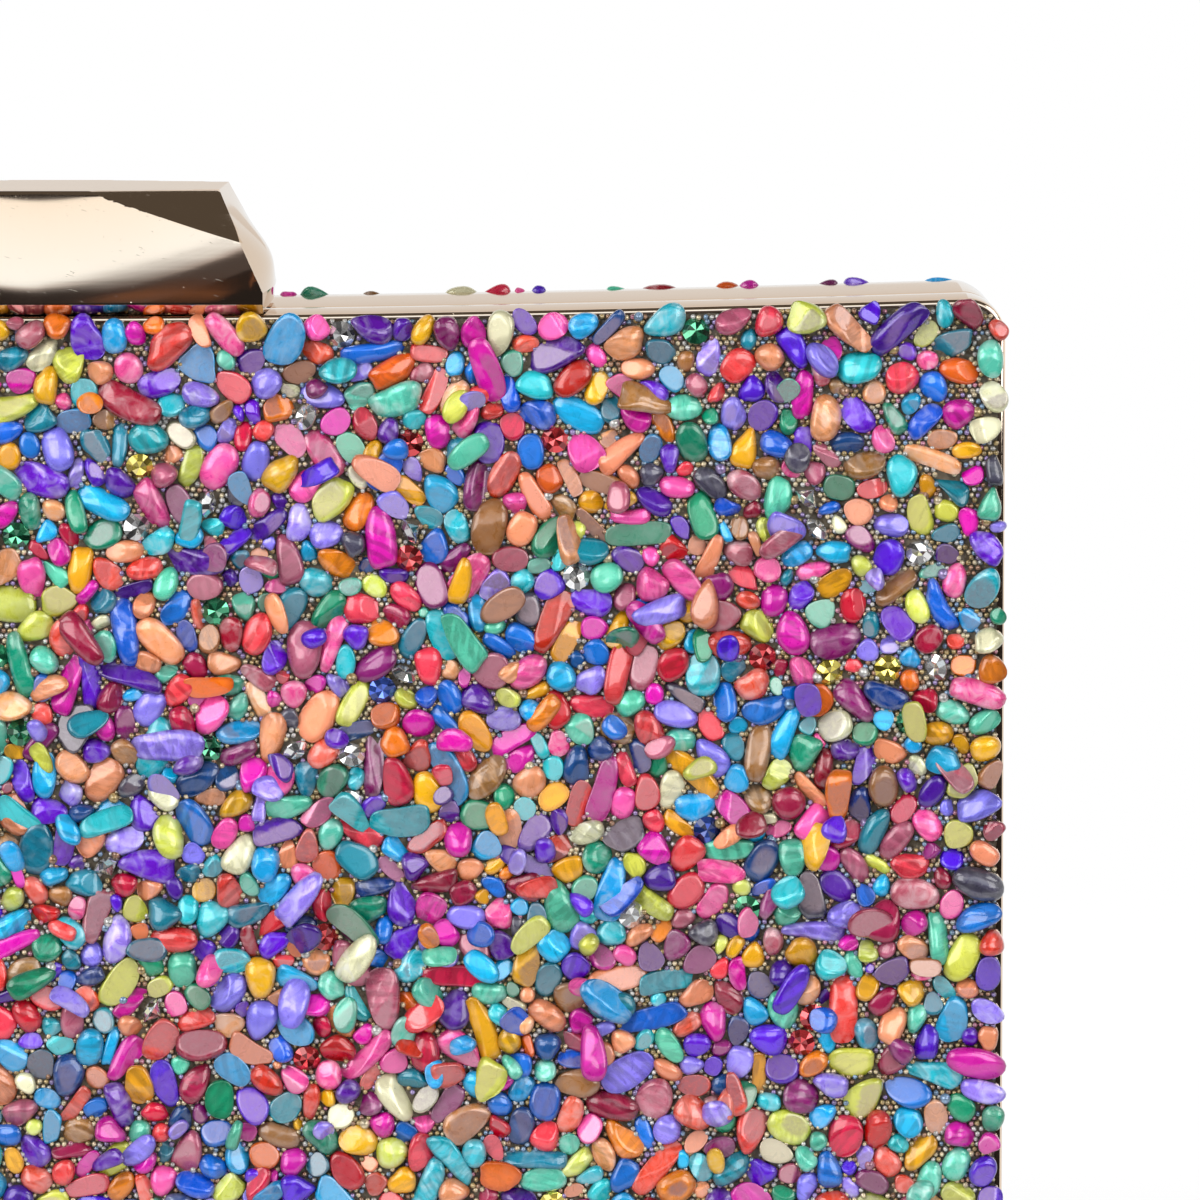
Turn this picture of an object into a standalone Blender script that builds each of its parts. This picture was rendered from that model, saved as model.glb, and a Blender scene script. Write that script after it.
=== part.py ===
"""Hard box clutch: two framed shells hinged along the bottom, held shut by a faceted bar clasp on top.

Metres, +Z up. The clutch stands on its hinge side, its front faces -Y and its width runs along X.
Depths are measured from the front rim's plane towards the back, or from the back rim's plane towards the
front. Insets are measured from the body's outline inwards.
"""

import math
import random

import bmesh
import bpy
from mathutils import Matrix, Vector
from mathutils.geometry import delaunay_2d_cdt

# Body
body_width = 0.210
body_height = 0.122
front_depth = 0.014
back_depth = 0.027
corner_radius = 0.0042
inner_corner_radius = 0.0008
top_dip = 0.0019
dip_power = 1.7
corner_steps = 6
top_steps = 12

# Clearance between pieces that touch, the length by which a cutter passes what it cuts, and the
# distance under which points count as one
fit = 0.0003
overrun = 0.002
same_point = 0.0000001

# Section of the frame bands
band_wall = 0.0012
crown_height = 0.00012
crown_shares = ((0.2, 0.3), (0.4, 0.0), (0.6, 0.0), (0.8, 0.3))
rim_roll = 0.00045
rim_width = 0.00025
bevel_depth = 0.0016
bevel_rise = 0.0004
flange_reach = 0.0011
flange_thickness = 0.0008
seam_roll = 0.00035

# Panel boards and the stone field on them
panel_thickness = 0.0016
stone_rise = 0.0015
stone_gap_rise = 0.0001
stone_shoulder = 0.0004
stone_edge_width = 0.0012
stone_pitch = 0.0062
stone_radius = 0.0026
stone_uneven_share = 0.25
stone_sides = 4
stone_seed = 7

# Linings
lining_thickness = 0.0010
lining_pad_thickness = 0.0015
lining_setback = 0.0008
lining_corner_radius = 0.0020

# Bottom hinge
shell_open_angle = math.radians(85)
hinge_length = 0.180
hinge_pin_radius = 0.0005
hinge_knuckle_wall = 0.00045
hinge_floor_gap = 0.0003
hinge_leaf_thickness = 0.0008
hinge_leaf_width = 0.0080
hinge_knuckles = 9
hinge_head_height = 0.0008
hinge_steps = 12

# Clasp bar, outside
clasp_length = 0.0482
clasp_top_length = 0.0383
clasp_depth = 0.0350
clasp_height = 0.0130
clasp_overhang = 0.0015
clasp_under_height = 0.0007
clasp_under_depth = 0.0012
clasp_end_foot = 0.0020
clasp_face_setback = 0.0014
clasp_face_steps = 6
clasp_facet_start = 0.0050
clasp_facet_setback = 0.0062
clasp_kink_height = 0.0077
clasp_edge_softness = 0.00018
clasp_softened_angle = math.radians(12)

# Clasp bar, inside
clasp_wall = 0.0022
clasp_cavity_height = 0.0075
clasp_flip_angle = math.radians(20)
clasp_pivot_from_rear = 0.0070
clasp_pivot_height = 0.0036
clasp_pin_radius = 0.0008
clasp_pin_steps = 12
clasp_lug_wall = 0.0009
clasp_lug_thickness = 0.0020
clasp_lug_spread = 0.0180

# Clasp base on the back band
base_length = 0.0300
base_front_reach = 0.0078
base_rear_reach = 0.0024
base_thickness = 0.0008
base_ear_wall = 0.0010
base_ear_thickness = 0.0012
base_ear_inset = 0.0020
base_rivet_spread = 0.0150
base_rivet_from_pivot = 0.0050

# Rivets
rivet_radius = 0.0007
rivet_head_radius = 0.0013
rivet_head_height = 0.0006
rivet_steps = 12

# Return spring
spring_wire_radius = 0.0003
spring_pin_gap = 0.00065
spring_turns = 5
spring_pitch = 0.0011
spring_steps = 12
spring_leg = 0.0045

# Catch tongue and the slot that it drops into
tongue_thickness = 0.0005
tongue_width = 0.0120
tongue_root_reach = 0.0100
tongue_drop_from_pivot = 0.0195
tongue_bend = 0.0010
tongue_tip_reach = 0.0010
tongue_tip_lean = 0.0006
tongue_rivet_spread = 0.0070
tongue_rivet_inset = 0.0025
slot_front_room = 0.0020

# Sizes that follow from the ones above
body_depth = front_depth + fit + back_depth
front_reach = max(clasp_overhang, stone_rise)
front_plane = -(front_reach + body_depth + stone_rise) / 2 + front_reach
back_plane = front_plane + body_depth
seam_y = front_plane + front_depth + fit / 2
dip_half = body_width / 2 - corner_radius
rim_inset = crown_height + rim_roll
rim_inner_inset = rim_inset + rim_width
bevel_inset = rim_inner_inset + bevel_rise
wall_inset = crown_height + band_wall
flange_inset = wall_inset + flange_reach
flange_back = bevel_depth + flange_thickness
panel_front = flange_back + fit
panel_back = panel_front + panel_thickness
pad_front = panel_back + fit
pad_back = pad_front + lining_pad_thickness

hinge_bore_radius = hinge_pin_radius + fit
hinge_knuckle_radius = hinge_bore_radius + hinge_knuckle_wall
hinge_axis_z = hinge_knuckle_radius + hinge_floor_gap
hinge_leaf_bottom = max(wall_inset, hinge_axis_z) + fit
hinge_leaf_top = hinge_leaf_bottom + hinge_leaf_thickness
hinge_slot_half = max(hinge_axis_z * math.tan(shell_open_angle / 2), hinge_knuckle_radius) + fit

lining_bottom_inset = max(hinge_leaf_top, hinge_axis_z + hinge_knuckle_radius) + fit
lining_side_inset = wall_inset + fit
lining_top_inset = wall_inset + max(tongue_tip_reach, rivet_head_height + fit) + 2 * fit

top_z = body_height - top_dip
clasp_front_y = front_plane - clasp_overhang
clasp_rear_y = clasp_front_y + clasp_depth
pivot_y = clasp_rear_y - clasp_pivot_from_rear
pivot_z = top_z + clasp_pivot_height
clasp_bore_radius = clasp_pin_radius + fit
lug_radius = clasp_bore_radius + clasp_lug_wall
ear_radius = clasp_bore_radius + base_ear_wall


def top_rise(x):
    """How far the dipped top run lies above its lowest point, at x."""
    share = min(abs(x) / dip_half, 1)
    return top_dip * share ** dip_power


clasp_bottom = top_z + top_rise(clasp_length / 2) + fit
clasp_top = clasp_bottom + clasp_height
clasp_roof = clasp_bottom + clasp_cavity_height
base_bottom = top_z + top_rise(base_length / 2) + fit
base_top = base_bottom + base_thickness
tongue_y = pivot_y - tongue_drop_from_pivot
tongue_top = clasp_roof - fit
tongue_tip_z = top_z - wall_inset - tongue_tip_reach


def clear_scene():
    for item in list(bpy.data.objects):
        bpy.data.objects.remove(item, do_unlink=True)


def material(name, colour, roughness, metallic):
    made = bpy.data.materials.new(name)
    made.use_nodes = True
    shader = made.node_tree.nodes["Principled BSDF"]
    shader.inputs["Base Color"].default_value = (*colour, 1.0)
    shader.inputs["Roughness"].default_value = roughness
    shader.inputs["Metallic"].default_value = metallic
    made.diffuse_color = (*colour, 1.0)
    return made


def finish_mesh(name, bm, surface):
    """Turns a closed bmesh into an object with its faces pointing out."""
    bmesh.ops.recalc_face_normals(bm, faces=bm.faces[:])
    mesh = bpy.data.meshes.new(name)
    bm.to_mesh(mesh)
    bm.free()
    mesh.shade_smooth()
    mesh.set_sharp_from_angle(angle=math.radians(30))
    made = bpy.data.objects.new(name, mesh)
    bpy.context.collection.objects.link(made)
    if surface:
        mesh.materials.append(surface)
    return made


def loft(name, loops, surface, ring=False):
    """Joins loops of equally many points; a ring closes on itself, anything else gets two end faces."""
    bm = bmesh.new()
    rows = [[bm.verts.new(point) for point in loop] for loop in loops]
    count = len(rows[0])
    pairs = list(zip(rows, rows[1:]))
    if ring:
        pairs.append((rows[-1], rows[0]))
    for near, far in pairs:
        for i in range(count):
            j = (i + 1) % count
            bm.faces.new((near[i], near[j], far[j], far[i]))
    if not ring:
        bm.faces.new(rows[0])
        bm.faces.new(rows[-1])
    return finish_mesh(name, bm, surface)


def prism(name, profile, x_low, x_high, surface=None):
    """Extrudes an outline of (y, z) points along X."""
    loops = [[(x, y, z) for y, z in profile] for x in (x_low, x_high)]
    return loft(name, loops, surface)


def box(name, low, high):
    profile = ((low[1], low[2]), (high[1], low[2]), (high[1], high[2]), (low[1], high[2]))
    return prism(name, profile, low[0], high[0])


def circle(centre, radius, steps, start=0.0, sweep=2 * math.pi):
    """Points of an arc; a full circle leaves out the repeated last point."""
    last = steps if sweep >= 2 * math.pi else steps + 1
    angles = [start + sweep * i / steps for i in range(last)]
    return [(centre[0] + radius * math.cos(a), centre[1] + radius * math.sin(a)) for a in angles]


def rod(name, centre, radius, x_low, x_high, steps, surface=None):
    """A round bar along X, with its centre at (y, z)."""
    return prism(name, circle(centre, radius, steps), x_low, x_high, surface)


def turned(name, x, y, rings, steps, surface=None):
    """A piece turned about a vertical axis, from (radius, z) pairs listed from one end to the other."""
    loops = []
    for radius, z in rings:
        loops.append([(x + px, y + py, z) for px, py in circle((0, 0), radius, steps)])
    return loft(name, loops, surface)


def combine(target, tool, operation):
    """Cuts a tool out of a piece or joins it on, and leaves the tool as a wire guide."""
    change = target.modifiers.new(tool.name, "BOOLEAN")
    change.operation = operation
    change.object = tool
    tool.hide_render = True
    tool.display_type = "WIRE"


def outline(side, bottom=None, top=None, radius=None):
    """Points (x, z) of the body's rounded outline moved inwards, from the bottom left round to the left."""
    bottom = side if bottom is None else bottom
    top = side if top is None else top
    radius = max(corner_radius - side, inner_corner_radius) if radius is None else radius
    reach = body_width / 2 - side - radius
    low = bottom + radius
    high = body_height - top - radius
    quarter = math.pi / 2
    points = circle((reach, low), radius, corner_steps, -quarter, quarter)
    points += circle((reach, high), radius, corner_steps, 0, quarter)
    run = [reach * (1 - 2 * i / top_steps) for i in range(1, top_steps)]
    points += [(x, high + radius) for x in run]
    points += circle((-reach, high), radius, corner_steps, quarter, quarter)
    points += circle((-reach, low), radius, corner_steps, 2 * quarter, quarter)
    middle = (low + high) / 2
    return [(x, z - (top_dip - top_rise(x) if z > middle else 0)) for x, z in points]


def at_depth(side, depth):
    """World y of a depth measured from that side's rim plane."""
    return front_plane + depth if side == "front" else back_plane - depth


def layer(side, depth, points):
    y = at_depth(side, depth)
    return [(x, y, z) for x, z in points]


def frame_band(side, depth, surface):
    """One metal band: a crowned outer wall, a rolled rim, and a bevelled flange that holds the panel."""
    diagonal = math.sqrt(0.5)
    section = [
        (0, rim_inner_inset),
        (0, rim_inset),
        (rim_roll * (1 - diagonal), crown_height + rim_roll * (1 - diagonal)),
        (rim_roll, crown_height),
    ]
    section += [(depth * along, crown_height * share) for along, share in crown_shares]
    section += [
        (depth - seam_roll, crown_height),
        (depth - seam_roll * (1 - diagonal), crown_height + seam_roll * (1 - diagonal)),
        (depth, crown_height + seam_roll),
        (depth, wall_inset),
        (flange_back, wall_inset),
        (flange_back, flange_inset),
        (bevel_depth, flange_inset),
        (bevel_depth, bevel_inset),
    ]
    loops = [layer(side, deep, outline(inset)) for deep, inset in section]
    band = loft(f"{side}_frame", loops, surface, ring=True)
    slot_low = (-body_width, seam_y - hinge_slot_half, -overrun)
    slot_high = (body_width, seam_y + hinge_slot_half, max(wall_inset, hinge_axis_z) + fit)
    combine(band, box(f"{side}_hinge_slot", slot_low, slot_high), "DIFFERENCE")
    return band


def panel_board(side, surface):
    points = outline(wall_inset + fit)
    loops = [layer(side, panel_front, points), layer(side, panel_back, points)]
    return loft(f"{side}_panel", loops, surface)


def stone_spots(edge):
    """Places (x, z, height) of the field's main stones and of the gaps between them, inside an outline."""
    chance = random.Random(stone_seed)
    margin = stone_edge_width + stone_radius
    reach = max(x for x, _ in edge) - margin
    low = min(z for _, z in edge) + margin
    high = min(z for x, z in edge if z > body_height / 2 and abs(x) < reach) - margin
    rows = int((high - low) / (stone_pitch * math.sin(math.pi / 3)))
    columns = int(2 * reach / stone_pitch)
    spots = []
    for row in range(rows + 1):
        z = low + (high - low) * row / rows
        for column in range(columns + 1 - row % 2):
            x = -reach + (column + row % 2 / 2) * 2 * reach / columns
            if (column - (row // 2) - row % 2 * 2) % 3:
                spots.append((x, z, stone_gap_rise))
                continue
            height = stone_rise * (1 - stone_uneven_share * chance.random())
            turn = chance.random() * math.pi
            for i in range(stone_sides):
                angle = turn + 2 * math.pi * i / stone_sides
                radius = stone_radius * (1 - stone_uneven_share * chance.random())
                spots.append((x + radius * math.cos(angle), z + radius * math.sin(angle), height))
    return spots


def spaced(points, step):
    """Places along a closed line, about a step apart on each of its straight runs."""
    places = []
    for start, stop in zip(points, points[1:] + points[:1]):
        count = max(int(math.dist(start, stop) / step), 1)
        for i in range(count):
            share = i / count
            places.append(tuple(a + (b - a) * share for a, b in zip(start, stop)))
    return places


def stone_bed(side, surface):
    """The field of stones: it covers the flange, follows the rim's bevel and stands proud in lumps."""
    bevel_gap = fit * math.hypot(bevel_depth, bevel_rise) / bevel_depth
    outer = rim_inner_inset + bevel_gap
    over_flange = bevel_depth - fit
    rows = [
        (flange_back, flange_inset + fit),
        (over_flange, flange_inset + fit),
        (over_flange, outer + bevel_rise * over_flange / bevel_depth),
        (0, outer),
        (-stone_shoulder, outer + stone_shoulder),
        (-stone_gap_rise, outer + stone_shoulder + stone_edge_width),
    ]
    outlines = [outline(inset) for _, inset in rows]
    bm = bmesh.new()
    loops = [
        [bm.verts.new(point) for point in layer(side, deep, points)]
        for (deep, _), points in zip(rows, outlines)
    ]
    count = len(loops[0])
    for near, far in zip(loops, loops[1:]):
        for i in range(count):
            j = (i + 1) % count
            bm.faces.new((near[i], near[j], far[j], far[i]))
    bm.faces.new(loops[0])
    edge = outlines[-1]
    ring = spaced(outline(rows[-1][1] + stone_edge_width / 2), stone_pitch / 2)
    spots = stone_spots(edge) + [(x, z, stone_gap_rise) for x, z in ring]
    flat = [Vector(point) for point in edge] + [Vector((x, z)) for x, z, _ in spots]
    made, _, faces, sources, _, _ = delaunay_2d_cdt(flat, [], [list(range(count))], 1, same_point)
    raised = [bm.verts.new((x, at_depth(side, -height), z)) for x, z, height in spots]
    corners = loops[-1] + raised
    for face in faces:
        bm.faces.new([corners[sources[i][0]] for i in face])
    return finish_mesh(f"{side}_stone_bed", bm, surface)


def lining_pad(side, surface):
    gap = lining_thickness + fit
    points = outline(
        lining_side_inset + gap, lining_bottom_inset + gap, lining_top_inset + gap, lining_corner_radius
    )
    loops = [layer(side, pad_front, points), layer(side, pad_back, points)]
    return loft(f"{side}_lining_pad", loops, surface)


def lining_wall(side, depth, surface):
    """The covered strip that runs round the inside of a shell, from the panel to near the seam."""
    loops = []
    edge = depth - lining_setback
    inner = lining_thickness
    for deep, more in ((pad_front, 0), (edge, 0), (edge, inner), (pad_front, inner)):
        insets = [inset + more for inset in (lining_side_inset, lining_bottom_inset, lining_top_inset)]
        loops.append(layer(side, deep, outline(*insets, lining_corner_radius)))
    return loft(f"{side}_lining_wall", loops, surface, ring=True)


def hinge_leaf(side, surface):
    """A leaf inside its band, with every other knuckle of the hinge that lies in the bottom slot."""
    away = -1 if side == "front" else 1
    near = seam_y + away * (hinge_knuckle_radius + fit)
    far = seam_y + away * hinge_leaf_width
    ends = sorted((near, far))
    half = hinge_length / 2
    low = (-half, ends[0], hinge_leaf_bottom)
    high = (half, ends[1], hinge_leaf_top)
    leaf = box(f"{side}_hinge_leaf", low, high)
    leaf.data.materials.append(surface)
    pitch = hinge_length / hinge_knuckles
    first = 1 if side == "front" else 0
    overlap = (near + far) / 2
    for i in range(first, hinge_knuckles, 2):
        start = -half + pitch * i + (fit / 2 if i else 0)
        stop = -half + pitch * (i + 1) - (fit / 2 if i < hinge_knuckles - 1 else 0)
        barrel = rod(
            f"{side}_knuckle_{i}", (seam_y, hinge_axis_z), hinge_knuckle_radius, start, stop, hinge_steps
        )
        combine(leaf, barrel, "UNION")
        across = sorted((seam_y, overlap))
        tab_low = (start, across[0], hinge_axis_z)
        tab = box(f"{side}_tab_{i}", tab_low, (stop, across[1], hinge_leaf_top))
        combine(leaf, tab, "UNION")
    bore = rod(
        f"{side}_hinge_bore", (seam_y, hinge_axis_z), hinge_bore_radius, -body_width, body_width, hinge_steps
    )
    combine(leaf, bore, "DIFFERENCE")
    return leaf


def hinge_pin(surface):
    """The pin through all the knuckles, with a peened head just outside each end."""
    centre = (seam_y, hinge_axis_z)
    inner = hinge_length / 2 + fit
    outer = inner + hinge_head_height
    head = (hinge_bore_radius + hinge_knuckle_radius) / 2
    stations = ((-outer, head), (-inner, head), (-inner, hinge_pin_radius))
    stations += ((inner, hinge_pin_radius), (inner, head), (outer, head))
    loops = []
    for x, radius in stations:
        loops.append([(x, y, z) for y, z in circle(centre, radius, hinge_steps)])
    return loft("hinge_pin", loops, surface)


def lobe(name, x_middle, thickness, radius, foot_z):
    """An ear round the clasp's pivot: a half circle whose straight sides run to foot_z."""
    up = foot_z < pivot_z
    start = 0 if up else math.pi
    profile = circle((pivot_y, pivot_z), radius, clasp_pin_steps, start, math.pi)
    profile += [(profile[-1][0], foot_z), (profile[0][0], foot_z)]
    return prism(name, profile, x_middle - thickness / 2, x_middle + thickness / 2)


def face_setback(z):
    """How far the bar's convex faces have curved back at height z above its bottom."""
    share = max(z - clasp_under_height, 0) / (clasp_height - clasp_under_height)
    return clasp_face_setback * share ** 2


def end_half_length(z):
    """Half the bar's length at height z above its bottom."""
    share = max(z - clasp_end_foot, 0) / (clasp_height - clasp_end_foot)
    return clasp_length / 2 - (clasp_length - clasp_top_length) / 2 * share


def slice_off(bm, point, normal):
    """Cuts away what lies in front of a plane and closes the cut with a face."""
    everything = bm.verts[:] + bm.edges[:] + bm.faces[:]
    cut = bmesh.ops.bisect_plane(
        bm, geom=everything, dist=same_point, plane_co=point, plane_no=normal, clear_outer=True
    )
    edges = [item for item in cut["geom_cut"] if isinstance(item, bmesh.types.BMEdge)]
    bmesh.ops.holes_fill(bm, edges=edges, sides=0)


def clasp_bar(surface):
    """The bar: a convex-faced block cut by two sloping ends, four triangular facets and a rear relief."""
    span = clasp_height - clasp_under_height
    heights = [clasp_under_height + span * i / clasp_face_steps for i in range(clasp_face_steps + 1)]
    middle = (clasp_front_y + clasp_rear_y) / 2
    face = [(clasp_front_y + face_setback(h), clasp_bottom + h) for h in heights]
    front = [(clasp_front_y + clasp_under_depth, clasp_bottom)] + face
    rear = [(2 * middle - y, z) for y, z in reversed(front)]
    bm = bmesh.new()
    loops = [[bm.verts.new((x, y, z)) for y, z in front + rear] for x in (-clasp_length, clasp_length)]
    count = len(loops[0])
    for i in range(count):
        j = (i + 1) % count
        bm.faces.new((loops[0][i], loops[0][j], loops[1][j], loops[1][i]))
    bm.faces.new(loops[0])
    bm.faces.new(loops[1])
    bmesh.ops.recalc_face_normals(bm, faces=bm.faces[:])

    lean = Vector((clasp_height - clasp_end_foot, 0, (clasp_length - clasp_top_length) / 2)).normalized()
    start = Vector((clasp_facet_start, clasp_front_y + clasp_face_setback - middle, clasp_top))
    corner = Vector((clasp_top_length / 2, clasp_front_y + clasp_facet_setback - middle, clasp_top))
    kink_y = clasp_front_y + face_setback(clasp_kink_height) - middle
    kink = Vector((end_half_length(clasp_kink_height), kink_y, clasp_bottom + clasp_kink_height))
    tilt = (kink - start).cross(corner - start).normalized()
    tilt = tilt if tilt.z > 0 else -tilt
    for sx in (-1, 1):
        foot = (sx * clasp_length / 2, 0, clasp_bottom)
        slice_off(bm, foot, (sx, 0, 0))
        shoulder = (sx * clasp_length / 2, 0, clasp_bottom + clasp_end_foot)
        slice_off(bm, shoulder, (sx * lean.x, 0, lean.z))
        for sy in (-1, 1):
            point = (sx * start.x, middle - sy * start.y, start.z)
            slice_off(bm, point, (sx * tilt.x, -sy * tilt.y, tilt.z))
    drop = pivot_z - clasp_bottom
    relief = Vector((0, math.sin(clasp_flip_angle), -math.cos(clasp_flip_angle)))
    slice_off(bm, Vector((0, pivot_y, pivot_z)) + relief * drop, relief)
    bmesh.ops.recalc_face_normals(bm, faces=bm.faces[:])
    bmesh.ops.dissolve_degenerate(bm, dist=same_point, edges=bm.edges[:])
    sharp = [e for e in bm.edges if e.calc_face_angle(0) > clasp_softened_angle]
    bmesh.ops.bevel(
        bm, geom=sharp, offset=clasp_edge_softness, segments=1, affect="EDGES", clamp_overlap=True
    )
    bar = finish_mesh("clasp_bar", bm, surface)

    inside = clasp_top_length / 2
    low = (-inside, clasp_front_y + clasp_wall + clasp_under_depth, clasp_bottom - overrun)
    high = (inside, clasp_rear_y - clasp_wall, clasp_roof)
    combine(bar, box("clasp_cavity", low, high), "DIFFERENCE")
    for sx in (-1, 1):
        lug_x = sx * clasp_lug_spread / 2
        lug = lobe(f"clasp_lug_{sx}", lug_x, clasp_lug_thickness, lug_radius, clasp_roof + clasp_wall / 2)
        combine(bar, lug, "UNION")
    half = base_length / 2
    bore = rod("clasp_lug_bore", (pivot_y, pivot_z), clasp_bore_radius, -half, half, clasp_pin_steps)
    combine(bar, bore, "DIFFERENCE")
    for x, y in tongue_rivet_places():
        hole = turned(
            f"tongue_rivet_hole_{x:.4f}", x, y,
            ((rivet_radius + fit, clasp_roof - overrun), (rivet_radius + fit, clasp_roof + overrun + fit)),
            rivet_steps,
        )
        combine(bar, hole, "DIFFERENCE")
    return bar


def clasp_base(surface):
    """The plate riveted to the back band, with the two ears that carry the pivot pin."""
    half = base_length / 2
    low = (-half, pivot_y - base_front_reach, base_bottom)
    high = (half, pivot_y + base_rear_reach, base_top)
    base = box("clasp_base", low, high)
    base.data.materials.append(surface)
    for sx in (-1, 1):
        ear_x = sx * (half - base_ear_inset)
        ear = lobe(f"base_ear_{sx}", ear_x, base_ear_thickness, ear_radius, base_bottom + base_thickness / 2)
        combine(base, ear, "UNION")
    bore = rod("base_ear_bore", (pivot_y, pivot_z), clasp_bore_radius, -half, half, clasp_pin_steps)
    combine(base, bore, "DIFFERENCE")
    for x, y in base_rivet_places():
        combine(base, rivet_hole("base", x, y), "DIFFERENCE")
    return base


def base_rivet_places():
    return [(sx * base_rivet_spread / 2, pivot_y - base_rivet_from_pivot) for sx in (-1, 1)]


def tongue_rivet_places():
    y = pivot_y - tongue_root_reach - tongue_rivet_inset
    return [(sx * tongue_rivet_spread / 2, y) for sx in (-1, 1)]


def rivet_hole(owner, x, y):
    """A cutter for a rivet that passes through the clasp base and the back band's top."""
    radius = rivet_radius + fit
    low = top_z - wall_inset - overrun
    rings = ((radius, low), (radius, base_top + overrun))
    return turned(f"{owner}_rivet_hole_{x:.4f}", x, y, rings, rivet_steps)


def base_rivet(name, x, y, surface):
    """A rivet with a head on the base plate and one under the band's top wall."""
    under = top_z - wall_inset - fit
    over = base_top + fit
    rings = (
        (rivet_head_radius, under - rivet_head_height),
        (rivet_head_radius, under),
        (rivet_radius, under),
        (rivet_radius, over),
        (rivet_head_radius, over),
        (rivet_head_radius, over + rivet_head_height),
    )
    return turned(name, x, y, rings, rivet_steps, surface)


def tongue_rivet(name, x, y, surface):
    """A rivet whose head lies under the tongue and whose shank ends in the bar's roof."""
    head_top = tongue_top - tongue_thickness - fit
    rings = (
        (rivet_head_radius, head_top - rivet_head_height),
        (rivet_head_radius, head_top),
        (rivet_radius, head_top),
        (rivet_radius, clasp_roof + overrun),
    )
    return turned(name, x, y, rings, rivet_steps, surface)


def catch_tongue(surface):
    """A leaf of spring steel: flat under the bar's roof, then down through the front band's slot."""
    half = tongue_thickness / 2
    flat_z = tongue_top - half
    root = pivot_y - tongue_root_reach
    low_y = tongue_y - tongue_tip_lean
    line = [
        Vector((root, flat_z)),
        Vector((tongue_y + tongue_bend, flat_z)),
        Vector((tongue_y, flat_z - tongue_bend)),
        Vector((tongue_y, top_z)),
        Vector((tongue_y, top_z - wall_inset)),
        Vector((low_y, tongue_tip_z)),
    ]
    left, right = [], []
    for i, point in enumerate(line):
        before = (point - line[i - 1]).normalized() if i else (line[1] - point).normalized()
        after = (line[i + 1] - point).normalized() if i < len(line) - 1 else before
        middle = (before + after).normalized()
        across = Vector((-middle.y, middle.x)) * (half / middle.dot(before))
        left.append(tuple(point + across))
        right.append(tuple(point - across))
    tongue = prism("catch_tongue", left + right[::-1], -tongue_width / 2, tongue_width / 2, surface)
    for x, y in tongue_rivet_places():
        hole = turned(
            f"tongue_hole_{x:.4f}", x, y,
            ((rivet_radius + fit, flat_z - overrun), (rivet_radius + fit, flat_z + overrun)),
            rivet_steps,
        )
        combine(tongue, hole, "DIFFERENCE")
    return tongue


def return_spring(surface):
    """A torsion spring wound round the pivot pin: one leg on the base plate, one under the bar's roof."""
    mean = clasp_pin_radius + spring_pin_gap + spring_wire_radius
    count = spring_turns * spring_steps + spring_steps // 2
    first_x = -spring_pitch * count / spring_steps / 2
    points = [(first_x, pivot_y - spring_leg, pivot_z - mean)]
    for i in range(count + 1):
        angle = -math.pi / 2 + 2 * math.pi * i / spring_steps
        x = first_x + spring_pitch * i / spring_steps
        points.append((x, pivot_y + mean * math.cos(angle), pivot_z + mean * math.sin(angle)))
    end_x = points[-1][0]
    reach = clasp_roof - fit - spring_wire_radius
    points.append((end_x, pivot_y - spring_leg, (reach + pivot_z + mean) / 2))
    curve = bpy.data.curves.new("clasp_return_spring", "CURVE")
    curve.dimensions = "3D"
    curve.bevel_depth = spring_wire_radius
    curve.bevel_resolution = 1
    curve.use_fill_caps = True
    spline = curve.splines.new("POLY")
    spline.points.add(len(points) - 1)
    for target, point in zip(spline.points, points):
        target.co = (*point, 1.0)
    curve.materials.append(surface)
    spring = bpy.data.objects.new("clasp_return_spring", curve)
    bpy.context.collection.objects.link(spring)
    return spring


def group_on_axis(name, place, pieces):
    """Parents pieces to an empty that lies on their joint's axis."""
    axis = bpy.data.objects.new(name, None)
    axis.location = place
    bpy.context.collection.objects.link(axis)
    for piece in pieces:
        piece.parent = axis
        piece.matrix_parent_inverse = Matrix.Translation(place).inverted()


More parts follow.
